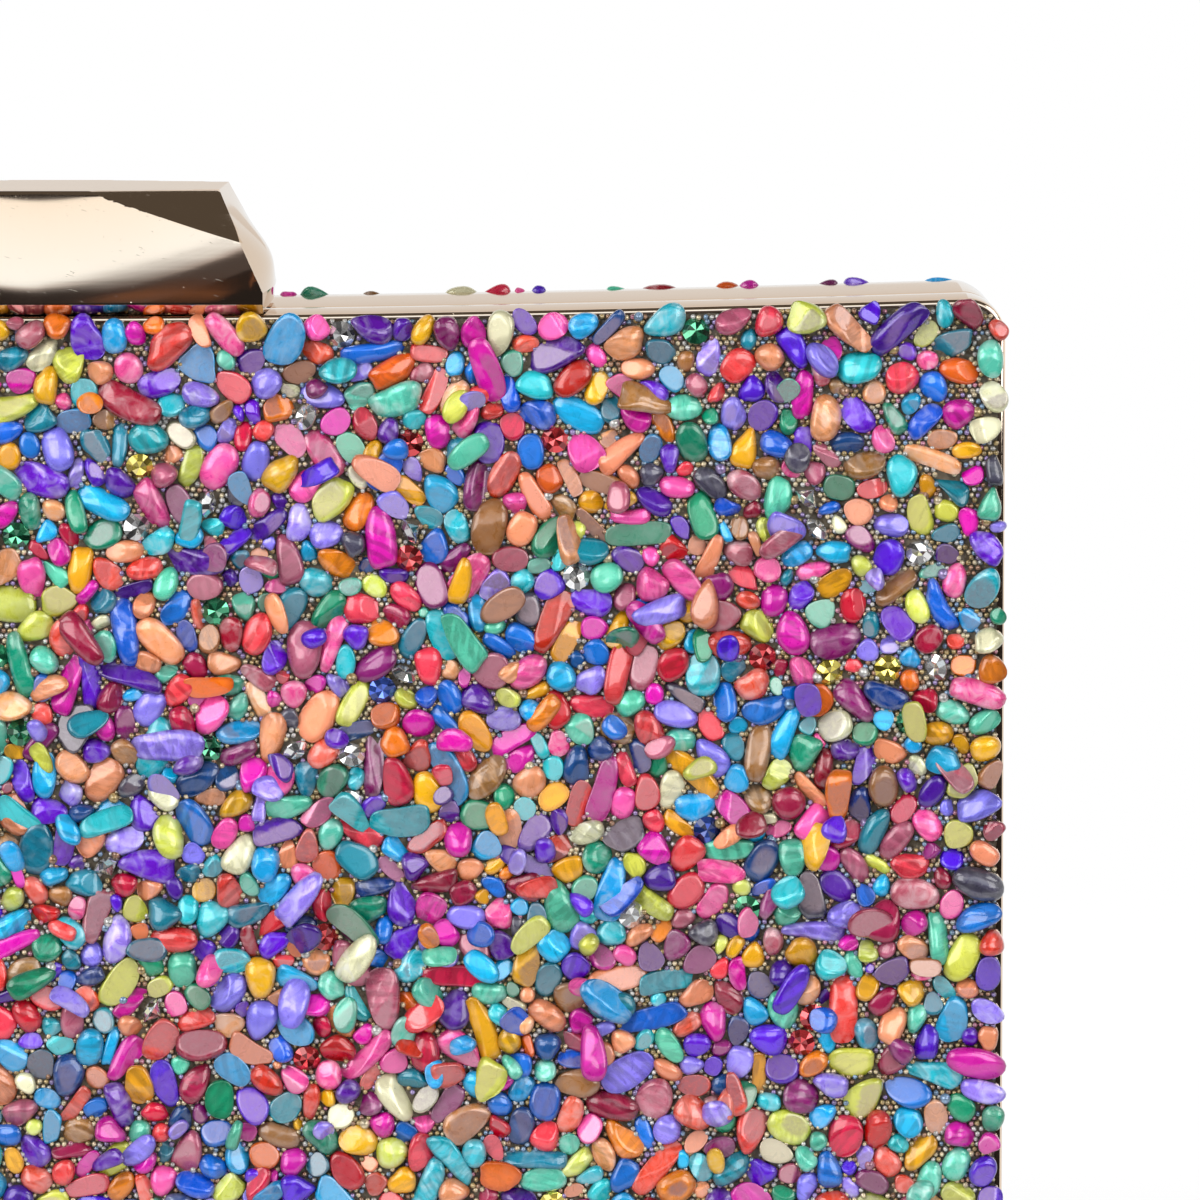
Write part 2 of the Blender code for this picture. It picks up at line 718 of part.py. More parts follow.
def build():
    clear_scene()
    gold = material("polished_rose_gold", (0.86, 0.62, 0.46), 0.12, 1.0)
    steel = material("bright_steel", (0.62, 0.61, 0.59), 0.25, 1.0)
    stones = material("shell_stone_mosaic", (0.55, 0.30, 0.45), 0.35, 0.0)
    board = material("grey_board", (0.36, 0.33, 0.30), 0.80, 0.0)
    satin = material("champagne_satin", (0.74, 0.64, 0.52), 0.55, 0.0)

    shell_pieces = {}
    for side, depth in (("front", front_depth), ("back", back_depth)):
        shell_pieces[side] = [
            frame_band(side, depth, gold),
            panel_board(side, board),
            stone_bed(side, stones),
            lining_pad(side, satin),
            lining_wall(side, depth, satin),
            hinge_leaf(side, steel),
        ]
    hinge_pin(steel)

    front_band, back_band = shell_pieces["front"][0], shell_pieces["back"][0]
    slot_half = tongue_width / 2 + fit
    slot_low = (-slot_half, tongue_y - slot_front_room, top_z - wall_inset - overrun)
    slot_high = (slot_half, tongue_y + tongue_thickness / 2 + fit, top_z + overrun)
    combine(front_band, box("catch_slot", slot_low, slot_high), "DIFFERENCE")
    for x, y in base_rivet_places():
        combine(back_band, rivet_hole("band", x, y), "DIFFERENCE")

    clasp_base(steel)
    half = base_length / 2 - fit
    rod("clasp_pin", (pivot_y, pivot_z), clasp_pin_radius, -half, half, clasp_pin_steps, steel)
    return_spring(steel)
    for hand, (x, y) in zip(("left", "right"), base_rivet_places()):
        base_rivet(f"base_rivet_{hand}", x, y, steel)

    clasp_pieces = [clasp_bar(gold), catch_tongue(steel)]
    for hand, (x, y) in zip(("left", "right"), tongue_rivet_places()):
        clasp_pieces.append(tongue_rivet(f"tongue_rivet_{hand}", x, y, steel))

    group_on_axis("shell_hinge_axis", (0, seam_y, hinge_axis_z), shell_pieces["front"])
    group_on_axis("clasp_flip_axis", (0, pivot_y, pivot_z), clasp_pieces)


build()
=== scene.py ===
"""Jeweled box clutch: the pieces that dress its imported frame, laid out as a Blender add-on.

Metres in the frame's own axes: +Z up, the front face looks along -Y. The stone fields are laid out in
millimetres on a flat face (u to the right, v up, w outwards) and are then set on the front or the back.
"""

import math

import bmesh
import bpy
import numpy as np
from mathutils import Matrix, Vector


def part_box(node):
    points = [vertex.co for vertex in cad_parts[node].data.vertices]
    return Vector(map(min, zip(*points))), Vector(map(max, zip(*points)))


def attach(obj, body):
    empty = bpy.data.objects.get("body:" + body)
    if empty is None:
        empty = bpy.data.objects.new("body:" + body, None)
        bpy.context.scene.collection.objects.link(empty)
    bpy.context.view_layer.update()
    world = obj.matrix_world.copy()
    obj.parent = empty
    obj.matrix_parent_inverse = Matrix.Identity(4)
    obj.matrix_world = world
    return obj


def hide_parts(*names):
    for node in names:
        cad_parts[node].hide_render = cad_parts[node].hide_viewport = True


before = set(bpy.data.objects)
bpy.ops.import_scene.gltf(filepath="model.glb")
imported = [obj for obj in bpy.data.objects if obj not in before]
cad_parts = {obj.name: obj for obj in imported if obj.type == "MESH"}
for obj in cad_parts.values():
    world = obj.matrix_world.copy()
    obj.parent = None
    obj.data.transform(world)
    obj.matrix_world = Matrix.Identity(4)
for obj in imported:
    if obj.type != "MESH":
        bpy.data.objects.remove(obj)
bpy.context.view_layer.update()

bl_info = {
    "name": "Jeweled Box Clutch",
    "version": (1, 0, 0),
    "blender": (4, 5, 0),
    "location": "View3D > Sidebar > Clutch",
    "description": "Dresses the packed frame of a box clutch with metal, stones, beads and satin",
    "category": "Object",
}

MM = 0.001

# Section of the frame bands, in metres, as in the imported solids
CORNER_RADIUS = 0.0042
INNER_RADIUS = 0.0008
TOP_DIP = 0.0019
DIP_POWER = 1.7
FIT = 0.0003
BAND_WALL = 0.0012
CROWN = 0.00012
CROWN_POWER = 2.4
RIM_ROLL = 0.00045
RIM_WIDTH = 0.00025
BEVEL_DEPTH = 0.0016
BEVEL_RISE = 0.0004
FLANGE = 0.0008
FLANGE_REACH = 0.0011
SEAM_ROLL = 0.00035
RIM_INSET = CROWN + RIM_ROLL
RIM_INNER = RIM_INSET + RIM_WIDTH
BEVEL_INSET = RIM_INNER + BEVEL_RISE
WALL_INSET = CROWN + BAND_WALL
FLANGE_INSET = WALL_INSET + FLANGE_REACH
FLANGE_BACK = BEVEL_DEPTH + FLANGE

# Cuts through the bands, and how far the case opens and the bar tips
OVERRUN = 0.002
HINGE_SLOT_REACH = 0.3
HINGE_SLOT_HALF = 0.00125
CATCH_SLOT_FRONT = 0.0020
TONGUE_HALF = 0.00025
TONGUE_AHEAD = 0.0195
TOP_CUT_DEPTH = 0.006
RIVET_HOLE_RADIUS = 0.001
OPEN_ANGLE = math.radians(85)
FLIP_ANGLE = math.radians(20)

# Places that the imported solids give
BAND = {"front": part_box("front_frame"), "back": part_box("back_frame")}
HALF_WIDTH = BAND["front"][1].x
HEIGHT = BAND["front"][1].z
RIM_PLANE = {"front": BAND["front"][0].y, "back": BAND["back"][1].y}
BAND_DEPTH = {side: BAND[side][1].y - BAND[side][0].y for side in BAND}
OUTWARD = {"front": -1, "back": 1}
SEAM_Y = (BAND["front"][1].y + BAND["back"][0].y) / 2
CLASP_LOW, CLASP_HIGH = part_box("clasp_bar")
PIN_LOW, PIN_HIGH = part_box("clasp_pin")
PIVOT = (PIN_LOW + PIN_HIGH) / 2
TONGUE_LOW, TONGUE_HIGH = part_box("catch_tongue")
TONGUE_Y = PIVOT.y - TONGUE_AHEAD
BODY = {"front": "front_shell", "back": "back_shell"}

# Dyes of the shell chips: name, colour, how much of the field has it, and how pearly it is
DYES = (
    ("violet", (0.130, 0.035, 0.620), 7.4, 0.45),
    ("lavender", (0.330, 0.270, 0.850), 7.4, 0.80),
    ("purple", (0.085, 0.016, 0.300), 3.5, 0.35),
    ("navy", (0.018, 0.065, 0.240), 2.5, 0.35),
    ("royal_blue", (0.022, 0.150, 0.640), 4.9, 0.40),
    ("sky_blue", (0.045, 0.420, 0.780), 7.5, 0.50),
    ("turquoise", (0.080, 0.540, 0.620), 5.5, 0.60),
    ("deep_teal", (0.012, 0.210, 0.310), 4.0, 0.45),
    ("mint", (0.150, 0.580, 0.430), 5.0, 0.65),
    ("green", (0.012, 0.270, 0.150), 3.5, 0.40),
    ("lime", (0.620, 0.660, 0.140), 5.0, 0.55),
    ("cream", (0.780, 0.760, 0.520), 2.5, 0.90),
    ("amber", (0.820, 0.410, 0.020), 4.0, 0.40),
    ("orange", (0.820, 0.200, 0.030), 3.5, 0.30),
    ("peach", (0.830, 0.370, 0.210), 7.0, 0.55),
    ("tan", (0.360, 0.175, 0.075), 2.5, 0.40),
    ("coral", (0.830, 0.125, 0.125), 6.5, 0.40),
    ("red", (0.600, 0.018, 0.035), 3.5, 0.25),
    ("crimson", (0.320, 0.014, 0.055), 3.0, 0.35),
    ("rose", (0.480, 0.140, 0.200), 4.0, 0.60),
    ("pink", (0.860, 0.160, 0.400), 6.0, 0.60),
    ("magenta", (0.700, 0.018, 0.400), 5.0, 0.40),
    ("plum", (0.240, 0.020, 0.150), 2.5, 0.35),
    ("slate", (0.065, 0.060, 0.095), 1.3, 0.40),
)

# Metal finishes of the micro-beads: name, colour and share
BEAD_FINISHES = (
    ("pale_gold", (0.66, 0.55, 0.36), 23.0),
    ("old_gold", (0.44, 0.32, 0.14), 19.0),
    ("silver", (0.58, 0.57, 0.55), 22.0),
    ("bronze", (0.36, 0.20, 0.12), 13.0),
    ("blue_steel", (0.22, 0.34, 0.50), 10.0),
    ("violet_steel", (0.32, 0.24, 0.48), 9.0),
    ("rose_metal", (0.52, 0.22, 0.30), 4.0),
)
MOST_BEADS = 2400  # a finish with more is split into a left and a right piece

# Cut stones: name, colour, share, and how far they may lie tilted
CUT_STONES = (
    ("crystal", (0.82, 0.84, 0.88), 48.0, 1.00),
    ("citrine", (0.88, 0.62, 0.07), 20.0, 0.16),
    ("ruby", (0.60, 0.012, 0.02), 12.0, 0.16),
    ("sapphire", (0.02, 0.09, 0.55), 10.0, 0.16),
    ("emerald", (0.01, 0.30, 0.13), 10.0, 0.16),
)


# Settings

class ClutchStoneSettings(bpy.types.PropertyGroup):
    seed: bpy.props.IntProperty(
        name="Seed", description="Starts the scatter of the stones", default=11, min=0
    )
    chip_width: bpy.props.FloatProperty(
        name="Chip width", description="Usual width of a shell chip", default=2.75 * MM, unit="LENGTH"
    )
    chip_thickness: bpy.props.FloatProperty(
        name="Chip thickness", description="Usual thickness of a shell chip", default=1.45 * MM, unit="LENGTH"
    )
    chip_cover: bpy.props.FloatProperty(
        name="Chip cover", description="Share of the face under the lower layer of chips",
        default=0.85, min=0.3, max=0.9, subtype="FACTOR",
    )
    loose_share: bpy.props.FloatProperty(
        name="Loose chips", description="Share of chips that lie on top of others",
        default=0.10, min=0, max=0.3, subtype="FACTOR",
    )
    cut_stone_diameter: bpy.props.FloatProperty(
        name="Cut stone diameter", description="Diameter of a rhinestone", default=3.0 * MM, unit="LENGTH"
    )
    cut_stone_count: bpy.props.IntProperty(
        name="Cut stones", description="Number of rhinestones on each face", default=100, min=0
    )
    bead_diameter: bpy.props.FloatProperty(
        name="Bead diameter", description="Diameter of a micro-bead", default=0.63 * MM, unit="LENGTH"
    )
    # Partly the resin's own colour and partly painted shade in the gaps between the stones
    resin_and_gap_shade_colour: bpy.props.FloatVectorProperty(
        name="Resin colour", description="Colour of the resin between the stones",
        default=(0.052, 0.040, 0.025), subtype="COLOR", size=3, min=0, max=1,
    )


class ClutchMetalSettings(bpy.types.PropertyGroup):
    gold_colour: bpy.props.FloatVectorProperty(
        name="Gold colour", description="Colour of the rose-gold plate",
        default=(0.80, 0.655, 0.53), subtype="COLOR", size=3, min=0, max=1,
    )
    steel_colour: bpy.props.FloatVectorProperty(
        name="Steel colour", description="Colour of the plated steel parts",
        default=(0.58, 0.57, 0.55), subtype="COLOR", size=3, min=0, max=1,
    )
    spring_colour: bpy.props.FloatVectorProperty(
        name="Spring steel colour", description="Colour of the blued spring steel",
        default=(0.25, 0.26, 0.30), subtype="COLOR", size=3, min=0, max=1,
    )


class ClutchLiningSettings(bpy.types.PropertyGroup):
    satin_colour: bpy.props.FloatVectorProperty(
        name="Satin colour", description="Colour of the satin lining",
        default=(0.60, 0.47, 0.34), subtype="COLOR", size=3, min=0, max=1,
    )
    thread_pitch: bpy.props.FloatProperty(
        name="Thread pitch", description="Distance between the satin's threads",
        default=0.16 * MM, unit="LENGTH",
    )


class ClutchStageSettings(bpy.types.PropertyGroup):
    camera_place: bpy.props.FloatVectorProperty(
        name="Camera place", description="Where the camera stands", default=(0.06075, -0.911, 0.16861),
        subtype="TRANSLATION", size=3, unit="LENGTH",
    )
    camera_pitch: bpy.props.FloatProperty(
        name="Camera pitch", description="How far the camera looks down", default=math.radians(5.112),
        subtype="ANGLE",
    )
    camera_lens: bpy.props.FloatProperty(
        name="Lens", description="Focal length in millimetres", default=245.7
    )
    fill: bpy.props.FloatProperty(
        name="Fill", description="Strength of the room's light", default=0.28, min=0
    )
    key: bpy.props.FloatProperty(
        name="Key", description="Power of the main soft lamp", default=13.8, min=0
    )


# Node trees

def node(tree, kind, inputs=None, **settings):
    """Adds a shader node, sets it up, and links or fills its inputs."""
    made = tree.nodes.new("ShaderNode" + kind)
    for key, value in settings.items():
        setattr(made, key, value)
    for key, value in (inputs or {}).items():
        if isinstance(value, bpy.types.NodeSocket):
            tree.links.new(value, made.inputs[key])
        else:
            made.inputs[key].default_value = value
    return made


def blend_colours(tree, factor, first, second):
    made = node(tree, "Mix", data_type="RGBA", blend_type="MIX")
    for place, value in ((0, factor), (6, first), (7, second)):
        if isinstance(value, bpy.types.NodeSocket):
            tree.links.new(value, made.inputs[place])
        elif place:
            made.inputs[place].default_value = (*value, 1)
        else:
            made.inputs[place].default_value = value
    return made.outputs[2]


def scaled(tree, value, low, high, to_low=0.0, to_high=1.0, kind="LINEAR"):
    inputs = {"Value": value, "From Min": low, "From Max": high, "To Min": to_low, "To Max": to_high}
    return node(tree, "MapRange", inputs, interpolation_type=kind).outputs["Result"]


def maths(tree, operation, first, second):
    return node(tree, "Math", {0: first, 1: second}, operation=operation).outputs[0]


def product(tree, first, second):
    return maths(tree, "MULTIPLY", first, second)


def own_place(tree):
    return node(tree, "TexCoord").outputs["Object"]


def mapped(tree, place, scale=(1, 1, 1), turn=(0, 0, 0)):
    return node(tree, "Mapping", {"Vector": place, "Scale": scale, "Rotation": turn}).outputs[0]


def tinted(colour, share, lift=0.0):
    """A colour made darker or paler by one factor and one lift."""
    return [min(1, share * c + lift) for c in colour]


def noise(tree, place, scale, detail, roughness=0.5, distortion=0.0):
    inputs = {
        "Vector": place, "Scale": scale, "Detail": detail, "Roughness": roughness, "Distortion": distortion,
    }
    return node(tree, "TexNoise", inputs).outputs["Fac"]


def bump(tree, height, distance, strength=1.0, normal=None):
    inputs = {"Height": height, "Distance": distance, "Strength": strength}
    if normal is not None:
        inputs["Normal"] = normal
    return node(tree, "Bump", inputs).outputs["Normal"]


def start_material(name):
    made = bpy.data.materials.new(name)
    made.use_nodes = True
    tree = made.node_tree
    tree.nodes.clear()
    return made, tree


def to_surface(tree, shader, output="OutputMaterial"):
    tree.links.new(shader.outputs[0], node(tree, output).inputs["Surface"])


def finish_material(tree, inputs):
    to_surface(tree, node(tree, "BsdfPrincipled", inputs))


def hairlines(tree, place, turn, share):
    """Fine straight scratches that run one way, from 0 to 1; share tells how much of the surface has them."""
    along = mapped(tree, place, turn=turn)
    patches = scaled(tree, noise(tree, along, 330.0, 0.0), 0.50, 0.62)
    lines = noise(tree, mapped(tree, along, (150, 9000, 9000)), 1.0, 0.0)
    return product(tree, scaled(tree, lines, 0.86 - share, 0.92 - share), patches)


def gold_material(name, colour, wear):
    """Polished rose-gold plate with hairlines, tiny pits and soft handling marks."""
    made, tree = start_material(name)
    place = own_place(tree)
    smear = noise(tree, place, 60.0, 3.0)
    hair = maths(
        tree, "MAXIMUM",
        hairlines(tree, place, (0.2, 0.5, 0.3), 0.03 * wear),
        hairlines(tree, place, (0.4, -0.25, -0.2), 0.05 * wear),
    )
    pits = node(tree, "TexVoronoi", {"Vector": place, "Scale": 800.0}).outputs["Distance"]
    pits = scaled(tree, pits, 0.02, 0.065, 1.0, 0.0)
    pits = product(tree, pits, scaled(tree, noise(tree, place, 300.0, 1.0), 0.53, 0.60))
    marks = maths(tree, "MAXIMUM", product(tree, hair, 0.6), pits)
    tint = blend_colours(tree, scaled(tree, smear, 0.3, 0.7), colour, tinted(colour, 0.97))
    haze = scaled(tree, smear, 0.3, 0.75, 0.035, 0.075)
    rough = maths(tree, "ADD", haze, product(tree, marks, 0.22 * wear))
    finish_material(tree, {
        "Base Color": tint,
        "Metallic": 1.0,
        "Roughness": rough,
        "Specular Tint": (0.84, 0.745, 0.655, 1),
        "Normal": bump(tree, pits, 0.00004 * wear, 0.8, bump(tree, marks, 0.000008 * wear, 0.5)),
    })
    return made


def steel_material(name, colour, rough, brushed):
    """Plated or blued steel, brushed along the clutch's width."""
    made, tree = start_material(name)
    place = own_place(tree)
    lines = noise(tree, mapped(tree, place, (300, 9000, 9000)), 1.0, 4.0)
    cloud = noise(tree, place, 250.0, 3.0)
    tint = blend_colours(tree, scaled(tree, cloud, 0.3, 0.7), colour, tinted(colour, 0.8))
    finish_material(tree, {
        "Base Color": tint,
        "Metallic": 1.0,
        "Roughness": scaled(tree, lines, 0.2, 0.8, rough * 0.8, rough * 1.3),
        "Normal": bump(tree, lines, 0.00001 * brushed, 0.5),
    })
    return made


def shell_material(name, colour, pearl):
    """Dyed, tumbled shell: a skin with clouds, growth lines, dents and painted shade, and a greyer cut on
    some chips.
    """
    made, tree = start_material(name)
    grain = node(tree, "Attribute", attribute_name="grain").outputs["Vector"]
    cut = node(tree, "Attribute", attribute_name="cut").outputs["Vector"]
    split = node(tree, "SeparateXYZ", {"Vector": cut}).outputs
    crown, window, tone = split["X"], split["Y"], split["Z"]
    own = node(tree, "SeparateXYZ", {"Vector": grain}).outputs["Z"]
    chance = node(tree, "TexWhiteNoise", {"W": own}, noise_dimensions="1D")
    draws = node(tree, "SeparateColor", {"Color": chance.outputs["Color"]}).outputs
    pick = chance.outputs["Value"]

    # Painted shade: a darker, more saturated copy of the dye for the chip's sides and underside
    deep = [0.60 * c ** 1.15 for c in colour]
    cloud = noise(tree, grain, 0.62, 3.0, 0.55, 0.9)
    fine = noise(tree, grain, 2.6, 3.0, 0.62)
    crease = noise(tree, mapped(tree, grain, (0.5, 1.7, 1)), 0.9, 2.0, 0.5, 0.4)
    bands = node(
        tree, "TexWave",
        {"Vector": grain, "Scale": 0.22, "Distortion": 9.0, "Detail": 2.0, "Detail Scale": 0.5},
        bands_direction="Y",
    ).outputs["Fac"]

    # The skin darkens to that copy where the crown is low, which paints shade down the chip's sides and
    # underside
    skin = blend_colours(tree, scaled(tree, crown, 0.0, 0.45), deep, colour)
    milky = scaled(tree, draws[0], 0.25, 0.9, 0.0, min(1, 1.15 * pearl))
    clouds = product(tree, scaled(tree, cloud, 0.43, 0.68), milky)
    skin = blend_colours(tree, clouds, skin, tinted(colour, 0.42, 0.58 * 0.76))
    # Painted shade: on most chips the skin darkens where the crease noise runs low, in the creases of the
    # dents
    crease_shaded_share = scaled(tree, draws[2], 0.3, 0.9, 0.0, 0.75)
    painted_crease_shade = product(tree, scaled(tree, crease, 0.56, 0.40), crease_shaded_share)
    skin = blend_colours(tree, painted_crease_shade, skin, [0.50 * c ** 1.1 for c in colour])
    lined = scaled(tree, draws[1], 0.78, 0.95, 0.0, 0.6)
    lines = product(tree, scaled(tree, bands, 0.35, 0.85), lined)
    skin = blend_colours(tree, lines, skin, tinted(colour, 0.35))
    grey = blend_colours(tree, scaled(tree, pick, 0.0, 0.75), (0.64, 0.48, 0.46), (0.19, 0.14, 0.17))
    bare = blend_colours(tree, scaled(tree, draws[0], 0.0, 1.0, 0.40, 0.92), colour, grey)
    bare = blend_colours(tree, scaled(tree, fine, 0.35, 0.75, 0.0, 0.30), bare, colour)
    skin = blend_colours(tree, window, skin, bare)
    skin = blend_colours(tree, scaled(tree, fine, 0.58, 0.82, 0.0, 0.25), skin, tinted(colour, 0.5, 0.35))
    toned = node(tree, "HueSaturation", {
        "Hue": scaled(tree, pick, 0.0, 1.0, 0.486, 0.514),
        "Saturation": 1.12,
        "Value": scaled(tree, tone, 0.0, 1.0, 0.70, 1.22),
        "Color": skin,
    }).outputs["Color"]
    dented = scaled(tree, draws[1], 0.80, 0.86, 0.10, 1.0)
    height = maths(tree, "ADD", product(tree, crease, dented), product(tree, fine, 0.22))
    finish_material(tree, {
        "Base Color": toned,
        "Metallic": 0.22 * pearl,
        "Roughness": scaled(tree, cloud, 0.3, 0.7, 0.24, 0.36),
        "Specular IOR Level": 0.5,
        "Coat Weight": 1.0,
        "Coat Roughness": 0.06,
        "Normal": bump(tree, height, 0.00012, 0.45),
    })
    return made


def bead_material(name, colour):
    """Plated glass with a bright film whose tint differs a little from bead to bead, and painted shade at the
    rims.
    """
    made, tree = start_material(name)
    place = own_place(tree)
    shift = noise(tree, place, 2200.0, 0.0)
    film = blend_colours(tree, scaled(tree, shift, 0.35, 0.65), tinted(colour, 0.50), tinted(colour, 1.02))
    # Painted shade: the film darkens towards each bead's rim as its surface turns away from the view
    edge = node(tree, "LayerWeight", {"Blend": 0.40}).outputs["Facing"]
    tint = blend_colours(tree, scaled(tree, edge, 0.35, 0.85, 0.0, 0.8), film, tinted(colour, 0.22))
    finish_material(tree, {
        "Base Color": tint,
        "Metallic": 0.35,
        "Roughness": scaled(tree, noise(tree, place, 5000.0, 1.0), 0.3, 0.7, 0.12, 0.22),
        "Coat Weight": 1.0,
        "Coat Roughness": 0.04,
    })
    return made


def cut_stone_material(name, colour):
    """Foil-backed cut glass: each facet has its own brightness, a painted reflection, under a clear polish.
    """
    made, tree = start_material(name)
    painted_facet_glint = node(tree, "Attribute", attribute_name="painted_facet_glint").outputs["Fac"]
    place = own_place(tree)
    dust = noise(tree, place, 3000.0, 2.0)
    # Painted reflection: each facet's colour runs from dark to bright by its painted glint
    glow = blend_colours(tree, painted_facet_glint, tinted(colour, 0.10), tinted(colour, 1.25, 0.04))
    finish_material(tree, {
        "Base Color": glow,
        "Metallic": 0.75,
        "Roughness": scaled(tree, dust, 0.4, 0.8, 0.05, 0.12),
        "Coat Weight": 1.0,
        "Coat Roughness": 0.03,
    })
    return made


def resin_material(name, colour):
    """Clear-coated, dark, uneven glue in which the beads and chips are set; its darkness is partly painted
    shade between them.
    """
    made, tree = start_material(name)
    place = own_place(tree)
    ripple = noise(tree, place, 900.0, 3.0)
    specks = node(tree, "TexVoronoi", {"Vector": place, "Scale": 1900.0}).outputs["Distance"]
    tint = blend_colours(tree, scaled(tree, ripple, 0.3, 0.7), colour, tinted(colour, 2.6))
    tint = blend_colours(tree, scaled(tree, specks, 0.05, 0.25, 0.5, 0.0), tint, (0.42, 0.33, 0.20))
    finish_material(tree, {
        "Base Color": tint,
        "Roughness": scaled(tree, ripple, 0.3, 0.7, 0.18, 0.4),
        "Coat Weight": 0.5,
        "Coat Roughness": 0.12,
        "Normal": bump(tree, ripple, 0.0002, 0.8),
    })
    return made


def satin_material(name, colour, pitch):
    """Satin: long floats along Z with a soft sheen, crossed by fine weft lines."""
    made, tree = start_material(name)
    place = own_place(tree)
    warp, weft = (
        node(
            tree, "TexWave",
            {"Vector": place, "Scale": share / pitch, "Distortion": unevenness, "Detail Scale": 3.0},
            bands_direction=way,
        ).outputs["Fac"]
        for share, unevenness, way in ((0.157, 0.6, "X"), (0.08, 0.9, "Z"))
    )
    slubs = noise(tree, mapped(tree, place, (900, 900, 60)), 1.0, 2.0)
    tint = blend_colours(tree, scaled(tree, warp, 0.0, 1.0), tinted(colour, 0.78), colour)
    tint = blend_colours(tree, scaled(tree, slubs, 0.45, 0.75, 0.0, 0.22), tint, tinted(colour, 1.2))
    height = maths(tree, "ADD", warp, product(tree, weft, 0.4))
    finish_material(tree, {
        "Base Color": tint,
        "Roughness": scaled(tree, slubs, 0.3, 0.8, 0.34, 0.5),
        "Sheen Weight": 0.35,
        "Sheen Roughness": 0.3,
        "Specular IOR Level": 0.6,
        "Normal": bump(tree, height, 0.00004, 0.5),
    })
    return made


def board_material(name, colour):
    """Pressed fibre board with short pale fibres."""
    made, tree = start_material(name)
    place = own_place(tree)
    fibre = noise(tree, mapped(tree, place, (400, 900, 2600)), 1.0, 4.0)
    tint = blend_colours(tree, scaled(tree, fibre, 0.35, 0.7), tinted(colour, 0.7), tinted(colour, 1.3))
    finish_material(tree, {
        "Base Color": tint,
        "Roughness": scaled(tree, fibre, 0.3, 0.7, 0.7, 0.9),
        "Normal": bump(tree, fibre, 0.00008, 0.6),
    })
    return made


# Mesh helpers

def link_piece(name, mesh, material, body, angle=30.0):
    """Makes a piece that rides a body. Edges steeper than the angle, in degrees, stay sharp."""
    mesh.shade_smooth()
    if angle:
        mesh.set_sharp_from_angle(angle=math.radians(angle))
    made = bpy.data.objects.new(name, mesh)
    bpy.context.scene.collection.objects.link(made)
    mesh.materials.append(material)
    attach(made, body)
    return made


def mesh_from(name, points, faces):
    mesh = bpy.data.meshes.new(name)
    mesh.from_pydata([tuple(p) for p in points], [], faces)
    mesh.update()
    return mesh


def facing_out(mesh):
    bm = bmesh.new()
    bm.from_mesh(mesh)
    bmesh.ops.recalc_face_normals(bm, faces=bm.faces[:])
    bm.to_mesh(mesh)
    bm.free()
    return mesh


def loft(name, loops, ring=False):
    """Skins loops of equally many points. A ring closes on itself, anything else gets two end faces."""
    count = len(loops[0])
    faces = []
    last = len(loops) if ring else len(loops) - 1
    for i in range(last):
        here, there = i * count, (i + 1) % len(loops) * count
        for j in range(count):
            k = (j + 1) % count
            faces.append((here + j, here + k, there + k, there + j))
    if not ring:
        faces.append(tuple(range(count)))
        faces.append(tuple(range((len(loops) - 1) * count, len(loops) * count)))
    return facing_out(mesh_from(name, [p for loop in loops for p in loop], faces))


def circle(centre, radius, steps, start=0.0, sweep=2 * math.pi):
    last = steps if sweep >= 2 * math.pi else steps + 1
    angles = [start + sweep * i / steps for i in range(last)]
    return [(centre[0] + radius * math.cos(a), centre[1] + radius * math.sin(a)) for a in angles]


def turned(name, centre, rings, steps):
    """A piece turned about a vertical axis, from (radius, z) pairs."""
    loops = [[(x, y, z) for x, y in circle(centre, radius, steps)] for radius, z in rings]
    return loft(name, loops)


def block(name, low, high):
    section = ((low[1], low[2]), (high[1], low[2]), (high[1], high[2]), (low[1], high[2]))
    return loft(name, [[(x, y, z) for y, z in section] for x in (low[0], high[0])])


def cut_with(mesh, changes):
    """Applies booleans, given as (operation, mesh), and returns the changed mesh."""
    holder = bpy.data.objects.new("work", mesh)
    bpy.context.scene.collection.objects.link(holder)
    tools = []
    for operation, other in changes:
        tool = bpy.data.objects.new("work_tool", other)
        bpy.context.scene.collection.objects.link(tool)
        change = holder.modifiers.new("change", "BOOLEAN")
        change.operation, change.object, change.solver = operation, tool, "EXACT"
        tools.append(tool)
    graph = bpy.context.evaluated_depsgraph_get()
    made = bpy.data.meshes.new_from_object(holder.evaluated_get(graph))
    for item in [holder, *tools]:
        bpy.data.objects.remove(item)
    made.name = mesh.name
    return made


# The body's outline

ROLL_STEPS = 6
CROWN_STEPS = 24
CORNER_STEPS = 14
SIDE_STEPS = 10
TOP_STEPS = 71
BOTTOM_STEPS = 21
RUN_END_SHARE = 0.004


def top_rise(x):
    """How far the dipped top run lies above its lowest point, at x."""
    share = np.minimum(np.abs(x) / (HALF_WIDTH - CORNER_RADIUS), 1)
    return TOP_DIP * share ** DIP_POWER


def run_of(start, stop, count):
    """Places on a straight run, with two close to each end so that the run shades flat."""
    inner = np.linspace(start, stop, count + 2)[1:-1]
    near = (stop - start) * RUN_END_SHARE
    return [start + near, *inner, stop - near]


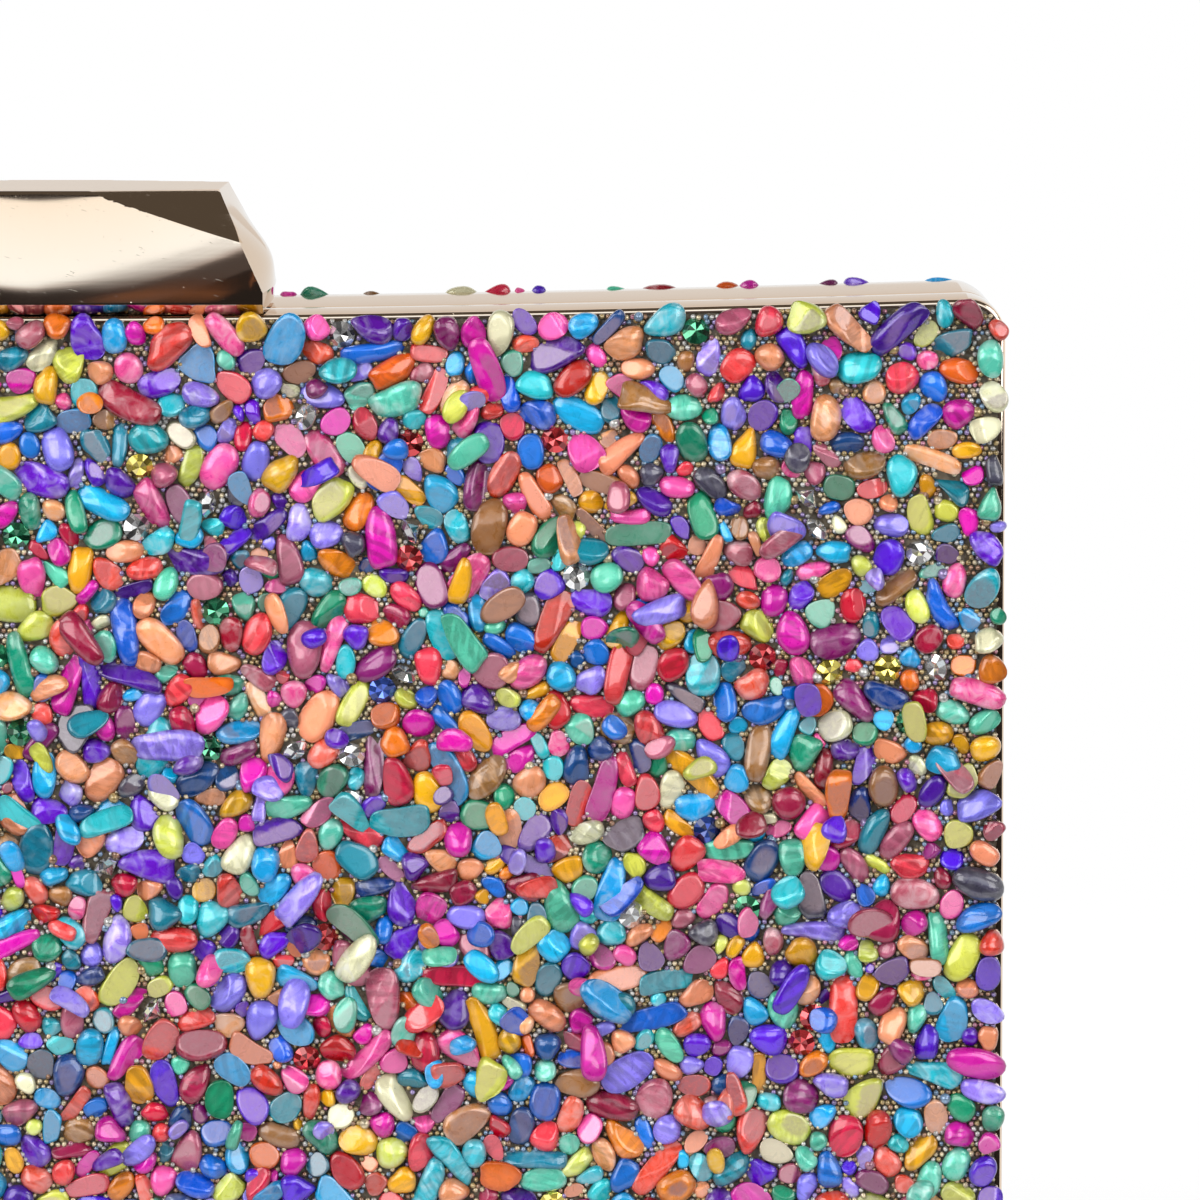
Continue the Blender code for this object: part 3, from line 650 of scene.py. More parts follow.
def outline(side, bottom=None, top=None, radius=None):
    """Points (x, z) of the body's outline moved inwards, from the bottom right round to the bottom left."""
    bottom = side if bottom is None else bottom
    top = side if top is None else top
    radius = max(CORNER_RADIUS - side, INNER_RADIUS) if radius is None else radius
    reach = HALF_WIDTH - side - radius
    low, high = bottom + radius, HEIGHT - top - radius
    quarter = math.pi / 2
    points = circle((reach, low), radius, CORNER_STEPS, -quarter, quarter)
    points += [(reach + radius, z) for z in run_of(low, high, SIDE_STEPS)]
    points += circle((reach, high), radius, CORNER_STEPS, 0, quarter)
    points += [(x, high + radius) for x in run_of(reach, -reach, TOP_STEPS)]
    points += circle((-reach, high), radius, CORNER_STEPS, quarter, quarter)
    points += [(-reach - radius, z) for z in run_of(high, low, SIDE_STEPS)]
    points += circle((-reach, low), radius, CORNER_STEPS, 2 * quarter, quarter)
    points += [(x, low - radius) for x in run_of(-reach, reach, BOTTOM_STEPS)]
    middle = (low + high) / 2
    return [(x, z - (float(TOP_DIP - top_rise(x)) if z > middle else 0)) for x, z in points]


def layer(side, depth, points):
    """Sets outline points at a depth behind the rim of one side."""
    y = RIM_PLANE[side] - OUTWARD[side] * depth
    return [(x, y, z) for x, z in points]


def band_section(depth):
    """The band's section as (depth, inset): rim, rolled edge, crowned wall, seam edge, flange and bevel."""
    section = [(0, RIM_INNER), (0, RIM_INNER - RIM_WIDTH * 0.5), (0, RIM_INSET)]
    angles = [math.pi / 2 * i / ROLL_STEPS for i in range(ROLL_STEPS + 1)]
    for angle in angles[1:]:
        section.append((RIM_ROLL * (1 - math.cos(angle)), RIM_INSET - RIM_ROLL * math.sin(angle)))
    for i in range(1, CROWN_STEPS):
        share = i / CROWN_STEPS
        along = RIM_ROLL + (depth - RIM_ROLL - SEAM_ROLL) * share
        section.append((along, CROWN * abs(2 * share - 1) ** CROWN_POWER))
    for angle in angles:
        section.append((depth - SEAM_ROLL * (1 - math.sin(angle)), CROWN + SEAM_ROLL * (1 - math.cos(angle))))
    section += [
        (depth, WALL_INSET),
        (FLANGE_BACK, WALL_INSET),
        (FLANGE_BACK, FLANGE_INSET),
        (BEVEL_DEPTH, FLANGE_INSET),
        (BEVEL_DEPTH, BEVEL_INSET),
    ]
    return section


class CLUTCH_OT_frame_bands(bpy.types.Operator):
    """Sweeps the two crowned metal bands round the body and cuts their slots"""

    bl_idname = "clutch.frame_bands"
    bl_label = "Frame bands"

    def execute(self, context):
        gold = gold_material("rose_gold_band", context.scene.clutch_metal.gold_colour, 0.5)
        pin_low, pin_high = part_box("hinge_pin")
        hinge_z = (pin_low.z + pin_high.z) / 2
        slot_half = max(hinge_z * math.tan(OPEN_ANGLE / 2), HINGE_SLOT_HALF) + FIT
        cut_low, cut_high = HEIGHT - TOP_CUT_DEPTH, HEIGHT + OVERRUN
        for side in ("front", "back"):
            loops = [layer(side, d, outline(inset)) for d, inset in band_section(BAND_DEPTH[side])]
            low = (-HINGE_SLOT_REACH, SEAM_Y - slot_half, -OVERRUN)
            high = (HINGE_SLOT_REACH, SEAM_Y + slot_half, WALL_INSET + FIT)
            changes = [("DIFFERENCE", block("hinge_slot", low, high))]
            if side == "front":
                low = (TONGUE_LOW.x - FIT, TONGUE_Y - CATCH_SLOT_FRONT, cut_low)
                high = (TONGUE_HIGH.x + FIT, TONGUE_Y + TONGUE_HALF + FIT, cut_high)
                changes.append(("DIFFERENCE", block("catch_slot", low, high)))
            else:
                for rivet in ("base_rivet_left", "base_rivet_right"):
                    low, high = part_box(rivet)
                    rings = ((RIVET_HOLE_RADIUS, cut_low), (RIVET_HOLE_RADIUS, cut_high))
                    changes.append(("DIFFERENCE", turned("hole", (low + high) / 2, rings, 24)))
            band = cut_with(loft(f"{side}_band", loops, ring=True), changes)
            piece = link_piece(f"{side}_band", band, gold, BODY[side])
            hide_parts(f"{side}_frame")
        return {"FINISHED"}


# The clasp bar

UNDER_HEIGHT = 0.0007
UNDER_DEPTH = 0.0012
LIP_DROP = 0.0004
END_FOOT = 0.0020
TOP_HALF = 0.01915
FACE_CURVE = 17.9
RIDGE_HALF = 0.0210
RIDGE_LIFT = 0.00485
RIDGE_POWER = 1.75
RIDGE_END = TOP_HALF * 1.2
BROW_DROP = 0.0002
BROW_SLOPE = 0.04
BROW_REACH = 0.005
BROW_CURVE = 200
CLASP_BOTTOM = CLASP_LOW.z
CLASP_HEIGHT = CLASP_HIGH.z - CLASP_BOTTOM
FACET_START = 0.0050
FACET_START_SETBACK = 0.0014
FACET_SETBACK = 0.0062
KINK_HEIGHT = 0.0077
KINK_SETBACK = 0.0003
EDGE_ROUNDING = 0.00016
SHARP_ANGLE = math.radians(9)
END_SWELL = 0.0017
END_SWELL_HEIGHT = 0.0056
END_SWELL_SPREAD = 0.0036
HALF_STEPS = 48
SWELL_STEPS = 20
BAR_WALL = 0.0022
BAR_ROOF = CLASP_BOTTOM + 0.0075
LUG_RADIUS = 0.002
LUG_PLACE = 0.009
LUG_HALF = 0.001
LUG_SEAT = 0.001
PIN_BORE_RADIUS = 0.0011
PIN_BORE_REACH = 0.015


def face_setback(x, height):
    """How far the bar's long faces have curved back at x, and at a height above the bar's bottom."""
    ridge = RIDGE_LIFT * (min(abs(x), RIDGE_END) / RIDGE_HALF) ** RIDGE_POWER
    back = FACE_CURVE / 2 * (height - ridge) ** 2
    brow = max(0, height - CLASP_HEIGHT + BROW_DROP + BROW_SLOPE * min(abs(x), BROW_REACH))
    return back + BROW_CURVE * brow ** 2


def end_swell(x, y, height):
    """How far the bar's end bulges outwards at a point; it fades to nothing towards the bar's middle."""
    half, middle = CLASP_HIGH.x, (CLASP_LOW.y + CLASP_HIGH.y) / 2
    plane = half - (half - TOP_HALF) * max(0, height - END_FOOT) / (CLASP_HEIGHT - END_FOOT)
    across = 1 - ((y - middle) / (CLASP_HIGH.y - middle)) ** 2
    upwards = math.exp(-((height - END_SWELL_HEIGHT) / END_SWELL_SPREAD) ** 2)
    fade = min(1, max(0, 1 - (plane - abs(x)) / (half / 4)))
    return END_SWELL * max(0, across) * upwards * fade ** 2


def everything_in(bm):
    return bm.verts[:] + bm.edges[:] + bm.faces[:]


def slice_off(bm, point, normal):
    """Cuts away what lies in front of a plane and closes the cut."""
    cut = bmesh.ops.bisect_plane(
        bm, geom=everything_in(bm), dist=1e-7, plane_co=point, plane_no=normal, clear_outer=True
    )
    edges = [item for item in cut["geom_cut"] if isinstance(item, bmesh.types.BMEdge)]
    bmesh.ops.holes_fill(bm, edges=edges, sides=0)


def clasp_block(name):
    """The bar before its ends are cut: two pillowed long faces over a flat bottom with a lip in front."""
    middle = (CLASP_LOW.y + CLASP_HIGH.y) / 2
    lip = RIM_PLANE["front"] - FIT
    heights = [UNDER_HEIGHT + (CLASP_HEIGHT - UNDER_HEIGHT) * i / HALF_STEPS for i in range(HALF_STEPS + 1)]
    loops = []
    for i in range(2 * HALF_STEPS + 1):
        x = (CLASP_HIGH.x + 0.5 * OVERRUN) * (i / HALF_STEPS - 1)
        face = [(CLASP_LOW.y + face_setback(x, h), CLASP_BOTTOM + h) for h in heights]
        front = [(lip, CLASP_BOTTOM), (lip, CLASP_BOTTOM - LIP_DROP), *face]
        rear = [(2 * middle - y, z) for y, z in reversed(face)]
        rear.append((CLASP_HIGH.y - UNDER_DEPTH, CLASP_BOTTOM))
        loops.append([(x, y, z) for y, z in front + rear])
    return loft(name, loops)


def cut_facets(bm):
    """Cuts the upright and sloping ends, the four corner facets and the relief behind the pin."""
    half = CLASP_HIGH.x
    middle = (CLASP_LOW.y + CLASP_HIGH.y) / 2
    lean = Vector((CLASP_HEIGHT - END_FOOT, 0, half - TOP_HALF)).normalized()
    start = Vector((FACET_START, CLASP_LOW.y + FACET_START_SETBACK - middle, CLASP_HIGH.z))
    corner = Vector((TOP_HALF, CLASP_LOW.y + FACET_SETBACK - middle, CLASP_HIGH.z))
    kink_x = half - (half - TOP_HALF) * (KINK_HEIGHT - END_FOOT) / (CLASP_HEIGHT - END_FOOT)
    kink = Vector((kink_x, CLASP_LOW.y + KINK_SETBACK - middle, CLASP_BOTTOM + KINK_HEIGHT))
    tilt = (kink - start).cross(corner - start).normalized()
    tilt = tilt if tilt.z > 0 else -tilt
    for sx in (-1, 1):
        slice_off(bm, (sx * half, 0, CLASP_BOTTOM), (sx, 0, 0))
        slice_off(bm, (sx * half, 0, CLASP_BOTTOM + END_FOOT), (sx * lean.x, 0, lean.z))
        for sy in (-1, 1):
            slice_off(bm, (sx * start.x, middle - sy * start.y, start.z), (sx * tilt.x, -sy * tilt.y, tilt.z))
    relief = Vector((0, math.sin(FLIP_ANGLE), -math.cos(FLIP_ANGLE)))
    slice_off(bm, PIVOT + relief * (PIVOT.z - CLASP_BOTTOM), relief)


def clasp_outside(name):
    """The bar's outer form with its rounded edges and swelling ends."""
    mesh = clasp_block(name)
    bm = bmesh.new()
    bm.from_mesh(mesh)
    cut_facets(bm)
    bmesh.ops.recalc_face_normals(bm, faces=bm.faces[:])
    bmesh.ops.dissolve_degenerate(bm, dist=1e-6, edges=bm.edges[:])
    sharp = [e for e in bm.edges if e.calc_face_angle(0) > SHARP_ANGLE]
    bmesh.ops.bevel(
        bm, geom=sharp, offset=EDGE_ROUNDING, segments=3, profile=0.5, affect="EDGES", clamp_overlap=True
    )
    depth = CLASP_HIGH.y - CLASP_LOW.y
    shares = range(1, SWELL_STEPS)
    planes = [((0, CLASP_LOW.y + depth * i / SWELL_STEPS, 0), (0, 1, 0)) for i in shares]
    planes += [((0, 0, CLASP_BOTTOM + CLASP_HEIGHT * i / SWELL_STEPS), (0, 0, 1)) for i in shares]
    for point, normal in planes:
        bmesh.ops.bisect_plane(bm, geom=everything_in(bm), dist=1e-6, plane_co=point, plane_no=normal)
    for vertex in bm.verts:
        swell = end_swell(vertex.co.x, vertex.co.y, vertex.co.z - CLASP_BOTTOM)
        vertex.co.x += math.copysign(swell, vertex.co.x)
    bm.to_mesh(mesh)
    bm.free()
    return mesh


class CLUTCH_OT_clasp_bar(bpy.types.Operator):
    """Cuts the faceted clasp bar from a pillowed block and hollows it round its lugs"""

    bl_idname = "clutch.clasp_bar"
    bl_label = "Clasp bar"

    def execute(self, context):
        gold = gold_material("rose_gold_clasp", context.scene.clutch_metal.gold_colour, 1.0)
        low = (-TOP_HALF, CLASP_LOW.y + BAR_WALL + UNDER_DEPTH, CLASP_BOTTOM - OVERRUN)
        high = (TOP_HALF, CLASP_HIGH.y - BAR_WALL, BAR_ROOF)
        changes = [("DIFFERENCE", block("cavity", low, high))]
        section = circle((PIVOT.y, PIVOT.z), LUG_RADIUS, 24, math.pi, math.pi)
        section += [(section[-1][0], BAR_ROOF + LUG_SEAT), (section[0][0], BAR_ROOF + LUG_SEAT)]
        for place in (-LUG_PLACE, LUG_PLACE):
            ends = (place - LUG_HALF, place + LUG_HALF)
            changes.append(("UNION", loft("lug", [[(x, y, z) for y, z in section] for x in ends])))
        bore = circle((PIVOT.y, PIVOT.z), PIN_BORE_RADIUS, 24)
        ends = (-PIN_BORE_REACH, PIN_BORE_REACH)
        changes.append(("DIFFERENCE", loft("bore", [[(x, y, z) for y, z in bore] for x in ends])))
        mesh = cut_with(clasp_outside("clasp_bar_shell"), changes)
        piece = link_piece("clasp_bar_shell", mesh, gold, "clasp", 12.0)
        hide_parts("clasp_bar")
        return {"FINISHED"}


# The stone fields

RESIN_LEVEL = 0.00018
BED_GAP = 0.00002
HALF_MM = HALF_WIDTH / MM
HEIGHT_MM = HEIGHT / MM
RIM_MM = RIM_INNER / MM
FIELDS = {}

# Added to the seed for the draws of each kind of stone
DRAWS = {
    "chips": {"front": 0, "back": 100},
    "beads": {"front": 500, "back": 600},
    "cut": {"front": 900, "back": 950},
}

# Kinds of chip: the lowest draw that gives each, and its least and greatest length for a width of one
CHIP_KINDS = ((0.0, 1.05, 1.62), (0.74, 1.6, 2.3), (0.94, 2.3, 3.4))
MOST_CHIPS = 4000
SMALL_SHARE, SMALL_SIZE = 0.16, 0.68
SLIM_ASPECT, SLIM_SIZE = 2.0, 0.82
LONGEST = 3.8

# Chips that lie at the edge: their least and greatest inset in mm, and their share
EDGE_CHIPS = {"front": (-0.25, 0.10, 0.40), "back": (-0.75, -0.10, 0.70)}
START_MARGIN = 2
TOP_MARGIN = 3
FOOT_SHARE, FOOT_ROOM = 1.12, 0.15
FIELD_EDGES = (1.2, 1.8)
NEARLY_ROUND = 1.001
INNER_BORDER = (0.2, 0.7)
CUT_STONE_BORDER = (0.9, 1.5)

# Chips that fill wide gaps, and loose ones on top
LEAST_GAP = 0.84
FILLER_SIZE, FILLER_LIMITS, FILLER_ASPECT = 1.08, (0.9, 1.6), (1.05, 1.5)
LOOSE_SIZE, LOOSE_ASPECT, LONGEST_LOOSE = 0.9, (1.1, 2.4), 3.9
LOOSE_MARGIN, LOOSE_TOP_MARGIN = 4, 6

# Settling of the stones, in mm: they are pushed further apart at first than at the end
DISCS = np.array((-1.0, -0.5, 0.0, 0.5, 1.0))
ROUNDS = 150
LATE_ROUND = 110
FIRST_GAP, GAP_DROP, DROP_SHARE = 0.42, 0.54, 0.7
NEAR_REACH = 0.8
EDGE_REACH, EDGE_PULL = 2.0, 0.28
MOVE_SHARE, MOST_MOVE = 0.72, 1.2
TWIST_SHARE, MOST_TWIST = 0.9, 0.25


def draws_for(kind, side):
    """The random draws for one kind of stone on one side."""
    return np.random.default_rng(bpy.context.scene.clutch_stones.seed + DRAWS[kind][side])


def inset_of(places):
    """How far points (u, v) in mm lie inside the body's outline, and which way is out."""
    half = np.array((HALF_MM, HEIGHT_MM / 2))
    u, v = places[..., 0], places[..., 1]
    lift = (TOP_DIP - top_rise(u * MM)) / MM * np.clip(v / HEIGHT_MM, 0, 1)
    centred = np.stack((u, v + lift - half[1]), -1)
    corner = CORNER_RADIUS / MM
    past = np.abs(centred) - (half - corner)
    outer = np.maximum(past, 0)
    length = np.linalg.norm(outer, axis=-1)
    inset = corner - length - np.minimum(past.max(-1), 0)
    flat = np.where((past[..., 0] > past[..., 1])[..., None], (1.0, 0.0), (0.0, 1.0))
    way = np.where((length > 1e-6)[..., None], outer / np.maximum(length, 1e-6)[..., None], flat)
    return inset, way * np.sign(centred + 1e-9)


def settle(places, turns, long, short, border, start=0):
    """Pushes overlapping ellipses apart and back inside the field, each seen as a row of discs."""
    spread = (long ** 2 - short ** 2) / long
    offset = DISCS * spread[:, None]
    focal = np.maximum(long ** 2 - short ** 2, 1e-9)
    radius = short[:, None] * np.sqrt(np.clip(1 - offset ** 2 / focal[:, None], 0.02, 1))
    everyone = np.arange(len(places))
    discs_each, pairs = len(DISCS), len(DISCS) ** 2
    for step in range(start, ROUNDS):
        gap = FIRST_GAP - GAP_DROP * min(1, step / (DROP_SHARE * ROUNDS))
        if (step - start) % 6 == 0:
            reach = long[:, None] + long[None] + NEAR_REACH
            near = ((places[:, None] - places[None]) ** 2).sum(2) < reach ** 2
            first, second = np.nonzero(np.triu(near, 1))
            rows = np.arange(len(first))
            touching = (radius[first][:, :, None] + radius[second][:, None]).reshape(len(first), pairs)
        arms = offset[:, :, None] * np.stack((np.cos(turns), np.sin(turns)), 1)[:, None]
        discs = places[:, None] + arms
        apart = (discs[first][:, :, None] - discs[second][:, None]).reshape(len(first), pairs, 2)
        distance = np.sqrt((apart ** 2).sum(-1)) + 1e-9
        over = touching + gap - distance
        worst = over.argmax(1)
        depth = np.maximum(over[rows, worst], 0)
        push = apart[rows, worst] / distance[rows, worst][:, None] * depth[:, None] * 0.5
        move = np.zeros_like(places)
        twist = np.zeros(len(places))
        for who, sign, disc in ((first, 1, worst // discs_each), (second, -1, worst % discs_each)):
            np.add.at(move, who, sign * push)
            arm = arms[who, disc]
            np.add.at(twist, who, sign * (arm[:, 0] * push[:, 1] - arm[:, 1] * push[:, 0]))
        inset, out = inset_of(discs)
        slack = inset - radius - border[:, None]
        nearest = slack.argmin(1)
        spare = slack[everyone, nearest]
        drawn = np.where((spare > 0) & (spare < EDGE_REACH), EDGE_PULL * spare, 0)
        move += out[everyone, nearest] * drawn[:, None]
        short_by = np.maximum(-slack, 0)
        wall = -out * short_by[..., None]
        move += wall[everyone, short_by.argmax(1)]
        twist += (arms[..., 0] * wall[..., 1] - arms[..., 1] * wall[..., 0]).sum(1) * 0.5
        places = places + np.clip(move * MOVE_SHARE, -MOST_MOVE, MOST_MOVE)
        turns = turns + np.clip(twist / (long ** 2 + short ** 2) * TWIST_SHARE, -MOST_TWIST, MOST_TWIST)
    return places, turns


def even_start(count, rng):
    """Jittered places on a staggered grid that covers the face, in a mixed order."""
    wide, tall = 2 * HALF_MM - 2 * START_MARGIN, HEIGHT_MM - (START_MARGIN + TOP_MARGIN)
    pitch = math.sqrt(wide * tall / count)
    columns, rows = math.ceil(wide / pitch), math.ceil(tall / pitch)
    u, v = np.meshgrid((np.arange(columns) + 0.25) / columns * wide, (np.arange(rows) + 0.5) / rows * tall)
    u[1::2] += pitch / 2
    spots = np.stack((u.ravel(), v.ravel()), 1) + rng.normal(0, pitch * 0.3, (u.size, 2))
    spots = spots[rng.permutation(len(spots))][:count]
    return spots + np.array((START_MARGIN - HALF_MM, START_MARGIN))


def covered_cells(items, cell, shrink):
    """Which cells of a grid over the face lie under ellipses, given as (place, turn, long, short) in mm."""
    wide, tall = int(2 * HALF_MM / cell) + 1, int(HEIGHT_MM / cell) + 1
    taken = np.zeros((tall, wide), bool)
    for place, turn, long, short in items:
        reach = long + cell
        u0, v0 = place[0] + HALF_MM, place[1]
        left, right = max(int((u0 - reach) / cell), 0), min(int((u0 + reach) / cell) + 2, wide)
        low, high = max(int((v0 - reach) / cell), 0), min(int((v0 + reach) / cell) + 2, tall)
        gu, gv = np.meshgrid(np.arange(left, right) * cell - u0, np.arange(low, high) * cell - v0)
        cu, sv = math.cos(turn), math.sin(turn)
        a, b = gu * cu + gv * sv, -gu * sv + gv * cu
        taken[low:high, left:right] |= (a / (long - shrink)) ** 2 + (b / (short - shrink)) ** 2 < 1
    return taken


def wide_gaps(items, least):
    """Middles and radii, in mm, of the gaps in which a circle of the least radius fits, the widest first."""
    cell = 0.2
    free = ~covered_cells(items, cell, 0.0)
    tall, wide = free.shape
    gu, gv = np.meshgrid(np.arange(wide) * cell - HALF_MM, np.arange(tall) * cell)
    inset, _ = inset_of(np.stack((gu, gv), -1))
    free &= inset > RIM_MM
    depth = free.astype(float)
    for step in range(1, 16):
        near = free[1:-1, 1:-1] & free[:-2, 1:-1] & free[2:, 1:-1] & free[1:-1, :-2] & free[1:-1, 2:]
        if step % 2:
            near &= free[:-2, :-2] & free[2:, 2:] & free[:-2, 2:] & free[2:, :-2]
        free = np.zeros_like(free)
        free[1:-1, 1:-1] = near
        depth += free
    found = []
    while depth.max() * cell * 0.85 > least:
        row, column = np.unravel_index(depth.argmax(), depth.shape)
        radius = depth[row, column] * cell * 0.85
        found.append((gu[row, column], gv[row, column], radius))
        depth[(gu - gu[row, column]) ** 2 + (gv - gv[row, column]) ** 2 < (radius + 1.2) ** 2] = 0
    return np.array(found).reshape(-1, 3)


def chip_sizes(rng, width):
    """Half widths and half lengths, in mm, of more chips than a face takes, in the order of their laying."""
    short = np.clip(rng.normal(width, 0.25, MOST_CHIPS), 0.72, 2.1)
    kind = rng.random(MOST_CHIPS)
    aspect = np.ones(MOST_CHIPS)
    for start, least, most in CHIP_KINDS:
        aspect = np.where(kind >= start, rng.uniform(least, most, MOST_CHIPS), aspect)
    short = np.where(rng.random(MOST_CHIPS) < SMALL_SHARE, short * SMALL_SIZE, short)
    short = np.where(aspect > SLIM_ASPECT, short * SLIM_SIZE, short)
    return short, np.minimum(short * aspect, LONGEST)


def lower_layer(side, rng, width):
    """The cut stones and the chips round them: places, turns, half lengths, half widths and borders."""
    stones = bpy.context.scene.clutch_stones
    short, long = chip_sizes(rng, width)
    cut_count = stones.cut_stone_count
    cut_radius = stones.cut_stone_diameter / MM / 2
    covered = np.cumsum(math.pi * short * long) + cut_count * math.pi * cut_radius ** 2
    area = (2 * HALF_MM - FIELD_EDGES[0]) * (HEIGHT_MM - FIELD_EDGES[1])
    count = int(np.searchsorted(covered, area * stones.chip_cover))
    short = np.concatenate((np.full(cut_count, cut_radius), short[:count]))
    long = np.concatenate((np.full(cut_count, cut_radius * NEARLY_ROUND), long[:count]))
    places = even_start(len(short), rng)
    total = len(places)
    short, long = short[:total], long[:total]
    turns = rng.uniform(0, math.pi, total)
    least, most, flush = EDGE_CHIPS[side]
    at_edge = rng.random(total) < flush
    border = np.where(at_edge, rng.uniform(least, most, total), rng.uniform(*INNER_BORDER, total))
    border[:cut_count] = rng.uniform(*CUT_STONE_BORDER, cut_count)
    places, turns = settle(places, turns, long, short, border)
    return places, turns, long, short, border


def with_fillers(side, rng, places, turns, long, short, border):
    """The layer with a chip in each wide gap, settled again and kept off the bottom edge."""
    gaps = wide_gaps(zip(places, turns, long, short), LEAST_GAP)
    many = len(gaps)
    least, most, _ = EDGE_CHIPS[side]
    fillers = np.clip(FILLER_SIZE * gaps[:, 2], *FILLER_LIMITS)
    places = np.concatenate((places, gaps[:, :2]))
    turns = np.concatenate((turns, rng.uniform(0, math.pi, many)))
    short = np.concatenate((short, fillers))
    long = np.concatenate((long, fillers * rng.uniform(*FILLER_ASPECT, many)))
    border = np.concatenate((border, rng.uniform(least, most, many)))
    places, turns = settle(places, turns, long, short, border, LATE_ROUND)
    foot = np.sqrt((long * np.sin(turns)) ** 2 + (short * np.cos(turns)) ** 2)
    places[:, 1] = np.maximum(places[:, 1], FOOT_SHARE * foot + FOOT_ROOM)
    return places, turns, long, short


def loose_chips(rng, count, width):
    """Chips that lie on top of the others: places, turns, half lengths and half widths."""
    short = np.clip(rng.normal(width * LOOSE_SIZE, 0.22, count), 0.7, 1.8)
    long = np.minimum(short * rng.uniform(*LOOSE_ASPECT, count), LONGEST_LOOSE)
    lowest = (LOOSE_MARGIN - HALF_MM, LOOSE_MARGIN)
    highest = (HALF_MM - LOOSE_MARGIN, HEIGHT_MM - LOOSE_TOP_MARGIN)
    places = rng.uniform(lowest, highest, (count, 2))
    return places, rng.uniform(0, math.pi, count), long, short


def stone_field(side):
    """Lays out one face: cut stones, the chips round them, chips in the wide gaps, and loose ones on top."""
    if side in FIELDS:
        return FIELDS[side]
    stones = bpy.context.scene.clutch_stones
    rng = draws_for("chips", side)
    width = stones.chip_width / MM / 2
    cut_count = stones.cut_stone_count
    under = with_fillers(side, rng, *lower_layer(side, rng, width))
    lower = len(under[0]) - cut_count
    loose = int(lower * stones.loose_share)
    over = loose_chips(rng, loose, width)
    field = {
        name: np.concatenate((below[cut_count:], above))
        for name, below, above in zip(("places", "turns", "long", "short"), under, over)
    }
    field["cut"] = under[0][:cut_count]
    field["upper"] = np.concatenate((np.zeros(lower, bool), np.ones(loose, bool)))
    field["rng"] = rng
    FIELDS[side] = field
    return field


def on_face(side, points):
    """Turns (u, v, w) in mm into places on one side of the clutch, in metres."""
    out = OUTWARD[side]
    u, v, w = points[..., 0], points[..., 1], points[..., 2]
    return np.stack((-out * u * MM, RIM_PLANE[side] + out * w * MM, v * MM), -1)


# A chip's rings, from its flat underside up to its crown: how far out each reaches, and the lowest heights
SEGMENTS = 24
REACH = np.array((0.84, 0.965, 1.0, 0.985, 0.945, 0.875, 0.775, 0.64, 0.48, 0.30, 0.12))
BELLY = 0.34
UNDER = np.array((0.0, 0.15, BELLY))
LOW_RINGS = len(UNDER)
FULL_TURN = 6.3
OUT_OF_REACH = 3.0
CUT_SOFTNESS = 0.022


def chip_outlines(field):
    """Each chip's outline for a half size of one: a soft oblong, more or less tapered, bent and uneven."""
    rng = field["rng"]
    one = (len(field["long"]), 1)
    angle = np.linspace(0, 2 * math.pi, SEGMENTS, endpoint=False)[None]
    slim = (field["long"] / field["short"])[:, None]
    power = 2 / (rng.uniform(1.9, 2.5, one) * np.clip(slim / 1.7, 1, 1.5))
    c, s = np.cos(angle), np.sin(angle)
    x = np.sign(c) * np.abs(c) ** power
    y = np.sign(s) * np.abs(s) ** power
    taper = rng.uniform(-0.34, 0.34, one) * (rng.random(one) < 0.6)
    bend = rng.uniform(-0.20, 0.20, one) * np.clip(slim - 1, 0, 1.6)
    cornered = np.where(rng.random(one) < 0.22, 0.075, 0.022)
    wobble = 1
    for waves, height in ((2, 0.03), (3, cornered), (5, cornered * 0.4)):
        wobble = wobble + height * np.cos(waves * angle + rng.uniform(0, FULL_TURN, one))
    y = (y * (1 + taper * x) + bend * (x ** 2 - 0.5)) * wobble
    return x * wobble, y


def chip_tops(rng, unit_u, unit_v, u, v):
    """Height of each point as a share of the chip's thickness, and how much a flat cut has bared it."""
    count = len(u)
    one = (count, 1, 1)
    square = np.where(rng.random(count) < 0.45, rng.uniform(2.6, 4.2, count), rng.uniform(1.9, 2.5, count))
    square = square[:, None, None]
    dome = BELLY + (1 - BELLY) * (1 - REACH[None, :, None] ** square) ** (1 / square)
    dome = np.broadcast_to(dome, u.shape).copy()
    dome[:, :LOW_RINGS] = UNDER[None, :, None]
    across, along = rng.uniform(0, FULL_TURN, one), rng.uniform(0, FULL_TURN, one)
    uneven = np.sin(u * 1.5 + across) * np.cos(v * 1.7 + along)
    dome[:, LOW_RINGS:] += (0.05 * rng.uniform(0.2, 1.3, one) * uneven)[:, LOW_RINGS:]
    way = rng.uniform(0, FULL_TURN, one)
    slope = rng.uniform(0.0, 0.30, one)
    level = rng.uniform(0.60, 0.90, one) + OUT_OF_REACH * (rng.random(one) > 0.44)
    plane = level + slope * (unit_u * np.cos(way) + unit_v * np.sin(way))
    other = way + rng.uniform(1.6, 4.7, one)
    steep = rng.uniform(0.45, 0.95, one)
    level = rng.uniform(0.80, 1.05, one) + OUT_OF_REACH * (rng.random(one) > 0.40)
    bevel = level - steep * (unit_u * np.cos(other) + unit_v * np.sin(other))
    cuts = np.logaddexp(-dome / CUT_SOFTNESS, -plane / CUT_SOFTNESS)
    top = -CUT_SOFTNESS * np.logaddexp(cuts, -bevel / CUT_SOFTNESS)
    window = np.clip((dome - plane) / 0.055, 0, 1) * np.clip((bevel - plane) / 0.04, 0, 1)
    top[:, LOW_RINGS:] = np.maximum(top[:, LOW_RINGS:], BELLY * 0.8)
    top[:, :LOW_RINGS] = dome[:, :LOW_RINGS]
    window[:, :LOW_RINGS] = 0
    return top, window


